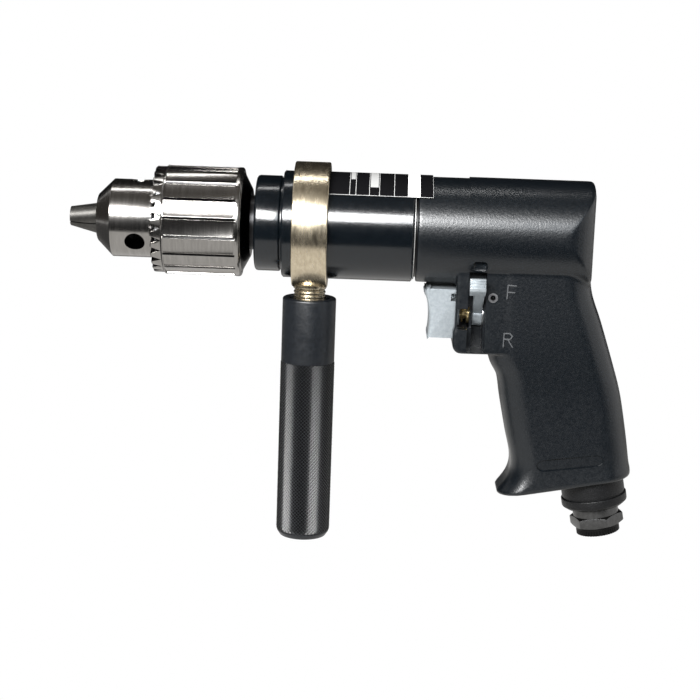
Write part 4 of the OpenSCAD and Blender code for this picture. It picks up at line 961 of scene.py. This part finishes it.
label = {
    "start": 89.6, "dividers": (111.2, 113.6, 118.9, 122.8, 128.6),  # mm along X
    "ends": (89.9, 143.8), "line": 0.17,
    "inR": 21.14, "outR": 21.34, "lineR": 21.2, "round": 1.6,
    "edge": 41.3, "rule": 138.0, "angles": (40.3, 139.0),  # degrees above the near side
    "boxes": (  # blank boxes: both ends along X, the angle where they start, brightness
        (133.9, 138.7, 41.3, 1.0), (111.6, 113.3, 66.0, 0.45), (119.3, 122.4, 53.0, 0.45)),
    "black": (0.002, 0.002, 0.0025, 1.0), "pale": (0.7, 0.7, 0.69, 1.0),
}


def ruledLabel(material):  # white rules on the black film, with blank boxes
    x, y, z = axes(material)
    angle = x.maths("ARCTAN2", z, 0.0 - y) * (180 / math.pi)
    half, low, high, far = label["line"] / 2, label["edge"], label["rule"], 180.0 - label["edge"]
    degree = math.degrees(half / label["lineR"])
    first, last = label["ends"]
    inside = (x > first) * (x < last)
    rules = [abs(angle - turn) < degree for turn in (low, far, high)]
    rules += [(abs(x - end) < half) * (angle > low) * (angle < far) for end in label["ends"]]
    rules += [(abs(x - line) < half) * (angle > low) * (angle < high) for line in label["dividers"]]
    boxes = sum((x > start) * (x < end) * (angle > turn) * (angle < high) * bright
                for start, end, turn, bright in label["boxes"])
    shown = x.maths("MINIMUM", sum(rules) * inside * 0.6 + boxes, 1.0)
    feed(material, "Base Color", shown.mix(label["black"], label["pale"]))


def makeFilm():  # the sticker bridges the joint
    last = label["ends"][1]
    film = sectorRing("labelFilm", label["start"], last, label["inR"], label["outR"], *label["angles"])
    edit(film)
    turns = [math.radians(a) for a in label["angles"]]
    pick(film, lambda e: all(v.co.x > (last - 0.01) * mm and min(
        abs(math.atan2(v.co.z, -v.co.y) - t) for t in turns) < 0.002 for v in e.verts))
    bpy.ops.mesh.bevel(offset=label["round"] * mm, segments=6, affect="EDGES")
    bpy.ops.object.mode_set(mode="OBJECT")
    smooth(film, 30.0)
    return dress(film, "housing", "labelFilm", "data_plate")


joint = {
    "start": 136.81, "end": 138.21, "rootR": 18.6, "ringR": 19.3, "crestR": 20.3,  # mm
    # pale: the span along X where the crest's highlight is painted
    "crest": (137.0, 137.45), "pale": (136.95, 137.3),
}


def jointShade(material):  # a painted highlight: one pale band on the crest, in a dark groove
    x = axes(material)[0]
    pale = (x > joint["pale"][0]) * (x < joint["pale"][1])
    feed(material, "Base Color", pale.mix((0.003, 0.003, 0.003, 1.0), (0.30, 0.30, 0.29, 1.0)))


def makeJointRing():
    j = joint
    front, rear = j["crest"]
    ring = turned("jointRing", rounded(
        [(j["start"], j["rootR"]), (j["start"], j["ringR"]), (front, j["crestR"]), (rear, j["crestR"]),
         (rear + 0.15, j["ringR"]), (j["end"], j["ringR"]), (j["end"], j["rootR"]),
         (j["start"], j["rootR"])], [0, 0, 0.1, 0.1, 0, 0, 0, 0], 2), 160)
    smooth(ring, 40.0)
    return dress(ring, "housing", "jointGrey", "joint_ring")


makeTrigger()
makeLever()
print("trigger and lever made")
jointShade(materials["jointGrey"])
ruledLabel(materials["labelFilm"])
makeCollar()
makeBushing()
makeJointRing()
makeFilm()
print("inlet, joint and sticker made")


studio = {
    "camera": (124.3, -674.85, 82.6), "turn": -0.94, "down": 11.15, "roll": 2.0,  # mm, degrees
    "lens": 87.43, "sensor": 36.0,
    "fill": 0.33,  # the world's strength on matt surfaces
    "cards": [  # cards that only reflections see: middle, size, the point they face, brightness
        ((110.0, -1150.0, 60.0), (2600.0, 420.0), (110.0, 0.0, 60.0), (0.008, 0.009, 0.01)),
        ((110.0, -1150.0, 465.0), (2600.0, 390.0), (110.0, 0.0, 465.0), (0.27, 0.31, 0.35)),
        ((110.0, -330.0, 900.0), (2600.0, 1540.0), (110.0, -330.0, 0.0), (0.10, 0.092, 0.08)),
        ((110.0, 1000.0, 1070.0), (2600.0, 2600.0), (110.0, 0.0, 1070.0), (0.012, 0.012, 0.012)),
        ((-400.0, -690.0, -126.0), (1100.0, 1000.0), (-400.0, -690.0, 0.0), (0.012, 0.012, 0.013)),
        ((600.0, -610.0, -125.0), (900.0, 1000.0), (600.0, -610.0, 0.0), (0.012, 0.012, 0.013)),
        ((425.0, -70.0, -127.5), (970.0, 440.0), (425.0, -70.0, 0.0), (0.85, 0.84, 0.82)),
        ((-380.0, 60.0, -127.5), (640.0, 700.0), (-380.0, 60.0, 0.0), (0.1, 0.1, 0.1)),
        ((420.0, -1080.0, 430.0), (560.0, 330.0), (420.0, 0.0, 430.0), (4.4, 4.8, 5.2)),
        ((110.0, 520.0, -127.5), (1600.0, 740.0), (110.0, 520.0, 0.0), (0.3, 0.295, 0.285)),
        ((-900.0, 0.0, 150.0), (1400.0, 700.0), (0.0, 0.0, 150.0), (0.06, 0.055, 0.05))],
    "lamps": [  # name, middle, the point it faces, size, watts
        ("key", (-150.0, -760.0, 385.0), (100.0, 0.0, 0.0), (640.0, 270.0), 26.0),
        ("strip", (-40.0, 112.0, 800.0), (-40.0, 0.0, 0.0), (560.0, 36.0), 1.1)],
}


def cameraAxes():
    turn, down, roll = (math.radians(studio[k]) for k in ("turn", "down", "roll"))
    ahead = Vector((math.sin(turn) * math.cos(down), math.cos(turn) * math.cos(down),
                    -math.sin(down)))
    level = Vector((math.cos(turn), -math.sin(turn), 0.0))
    upright = level.cross(ahead)
    right = level * math.cos(roll) + upright * math.sin(roll)
    return right, upright * math.cos(roll) - level * math.sin(roll), ahead


def makeCamera():
    bpy.ops.object.camera_add()
    camera = bpy.context.object
    right, up, ahead = cameraAxes()
    camera.matrix_world = Matrix.Translation(Vector(studio["camera"]) * mm) @ Matrix(
        (right, up, -ahead)).transposed().to_4x4()
    camera.data.sensor_width = studio["sensor"]
    camera.data.lens = studio["lens"]
    bpy.context.scene.camera = camera


def makeLamps():
    for name, spot, aim, size, power in studio["lamps"]:
        bpy.ops.object.light_add(type="AREA", location=Vector(spot) * mm)
        lamp = bpy.context.object
        lamp.name = name
        lamp.rotation_euler = (Vector(aim) - Vector(spot)).to_track_quat("-Z", "Y").to_euler()
        lamp.data.shape = "RECTANGLE"
        lamp.data.size, lamp.data.size_y = size[0] * mm, size[1] * mm
        lamp.data.energy = power


def whiteSeen(tree):  # 1 for rays from the camera and from shiny or clear surfaces
    path = tree.nodes.new("ShaderNodeLightPath")
    rays = [Wire(tree, path.outputs[n]) for n in
            ("Is Camera Ray", "Is Glossy Ray", "Is Transmission Ray")]
    return rays[0].maths("MAXIMUM", rays[0], rays[0].maths("MAXIMUM", rays[1], rays[2]))


def makeWorld():
    world = bpy.data.worlds.new("studio")
    world.use_nodes = True
    bpy.context.scene.world = world
    back = world.node_tree.nodes["Background"]
    back.inputs["Color"].default_value = (1.0, 1.0, 1.0, 1.0)
    seen = whiteSeen(world.node_tree)
    strength = studio["fill"] + seen * (1.0 - studio["fill"])
    world.node_tree.links.new(strength.socket, back.inputs["Strength"])


def makeFloor():
    bpy.ops.mesh.primitive_plane_add(size=6.0, location=(0.1, 0.0, cadBox[0][2]))
    floor = bpy.context.object
    floor.name = "floor"
    material = newMaterial("floorWhite", (0.9, 0.9, 0.9), 0.9)
    tree = material.node_tree
    start = Wire(tree)
    glow = start.node("ShaderNodeEmission", inputs={"Strength": 1.0})
    shader = Wire(tree, tree.nodes["Principled BSDF"].outputs[0])
    mixed = start.node("ShaderNodeMixShader", inputs={0: whiteSeen(tree), 1: shader, 2: glow})
    tree.links.new(mixed.socket, tree.nodes["Material Output"].inputs["Surface"])
    floor.data.materials.append(material)


def makeCards():
    for k, (spot, size, aim, tone) in enumerate(studio["cards"]):
        bpy.ops.mesh.primitive_plane_add(size=1.0, location=Vector(spot) * mm)
        card = bpy.context.object
        card.name = "card" + str(k)
        card.scale = (size[0] * mm, size[1] * mm, 1.0)
        card.rotation_euler = (Vector(aim) - Vector(spot)).to_track_quat("Z", "Y").to_euler()
        card.data.materials.append(newMaterial(
            "cardTone" + str(k), (0.0, 0.0, 0.0), 1.0, Specular_IOR_Level=0.0,
            Emission_Color=(*tone, 1.0), Emission_Strength=1.0))
        card.visible_camera = False
        card.visible_diffuse = False
        card.visible_transmission = False
        card.visible_shadow = False


makeCamera()
makeWorld()
makeFloor()
makeCards()
makeLamps()
bpy.context.scene.view_settings.view_transform = "Standard"
print("studio made")
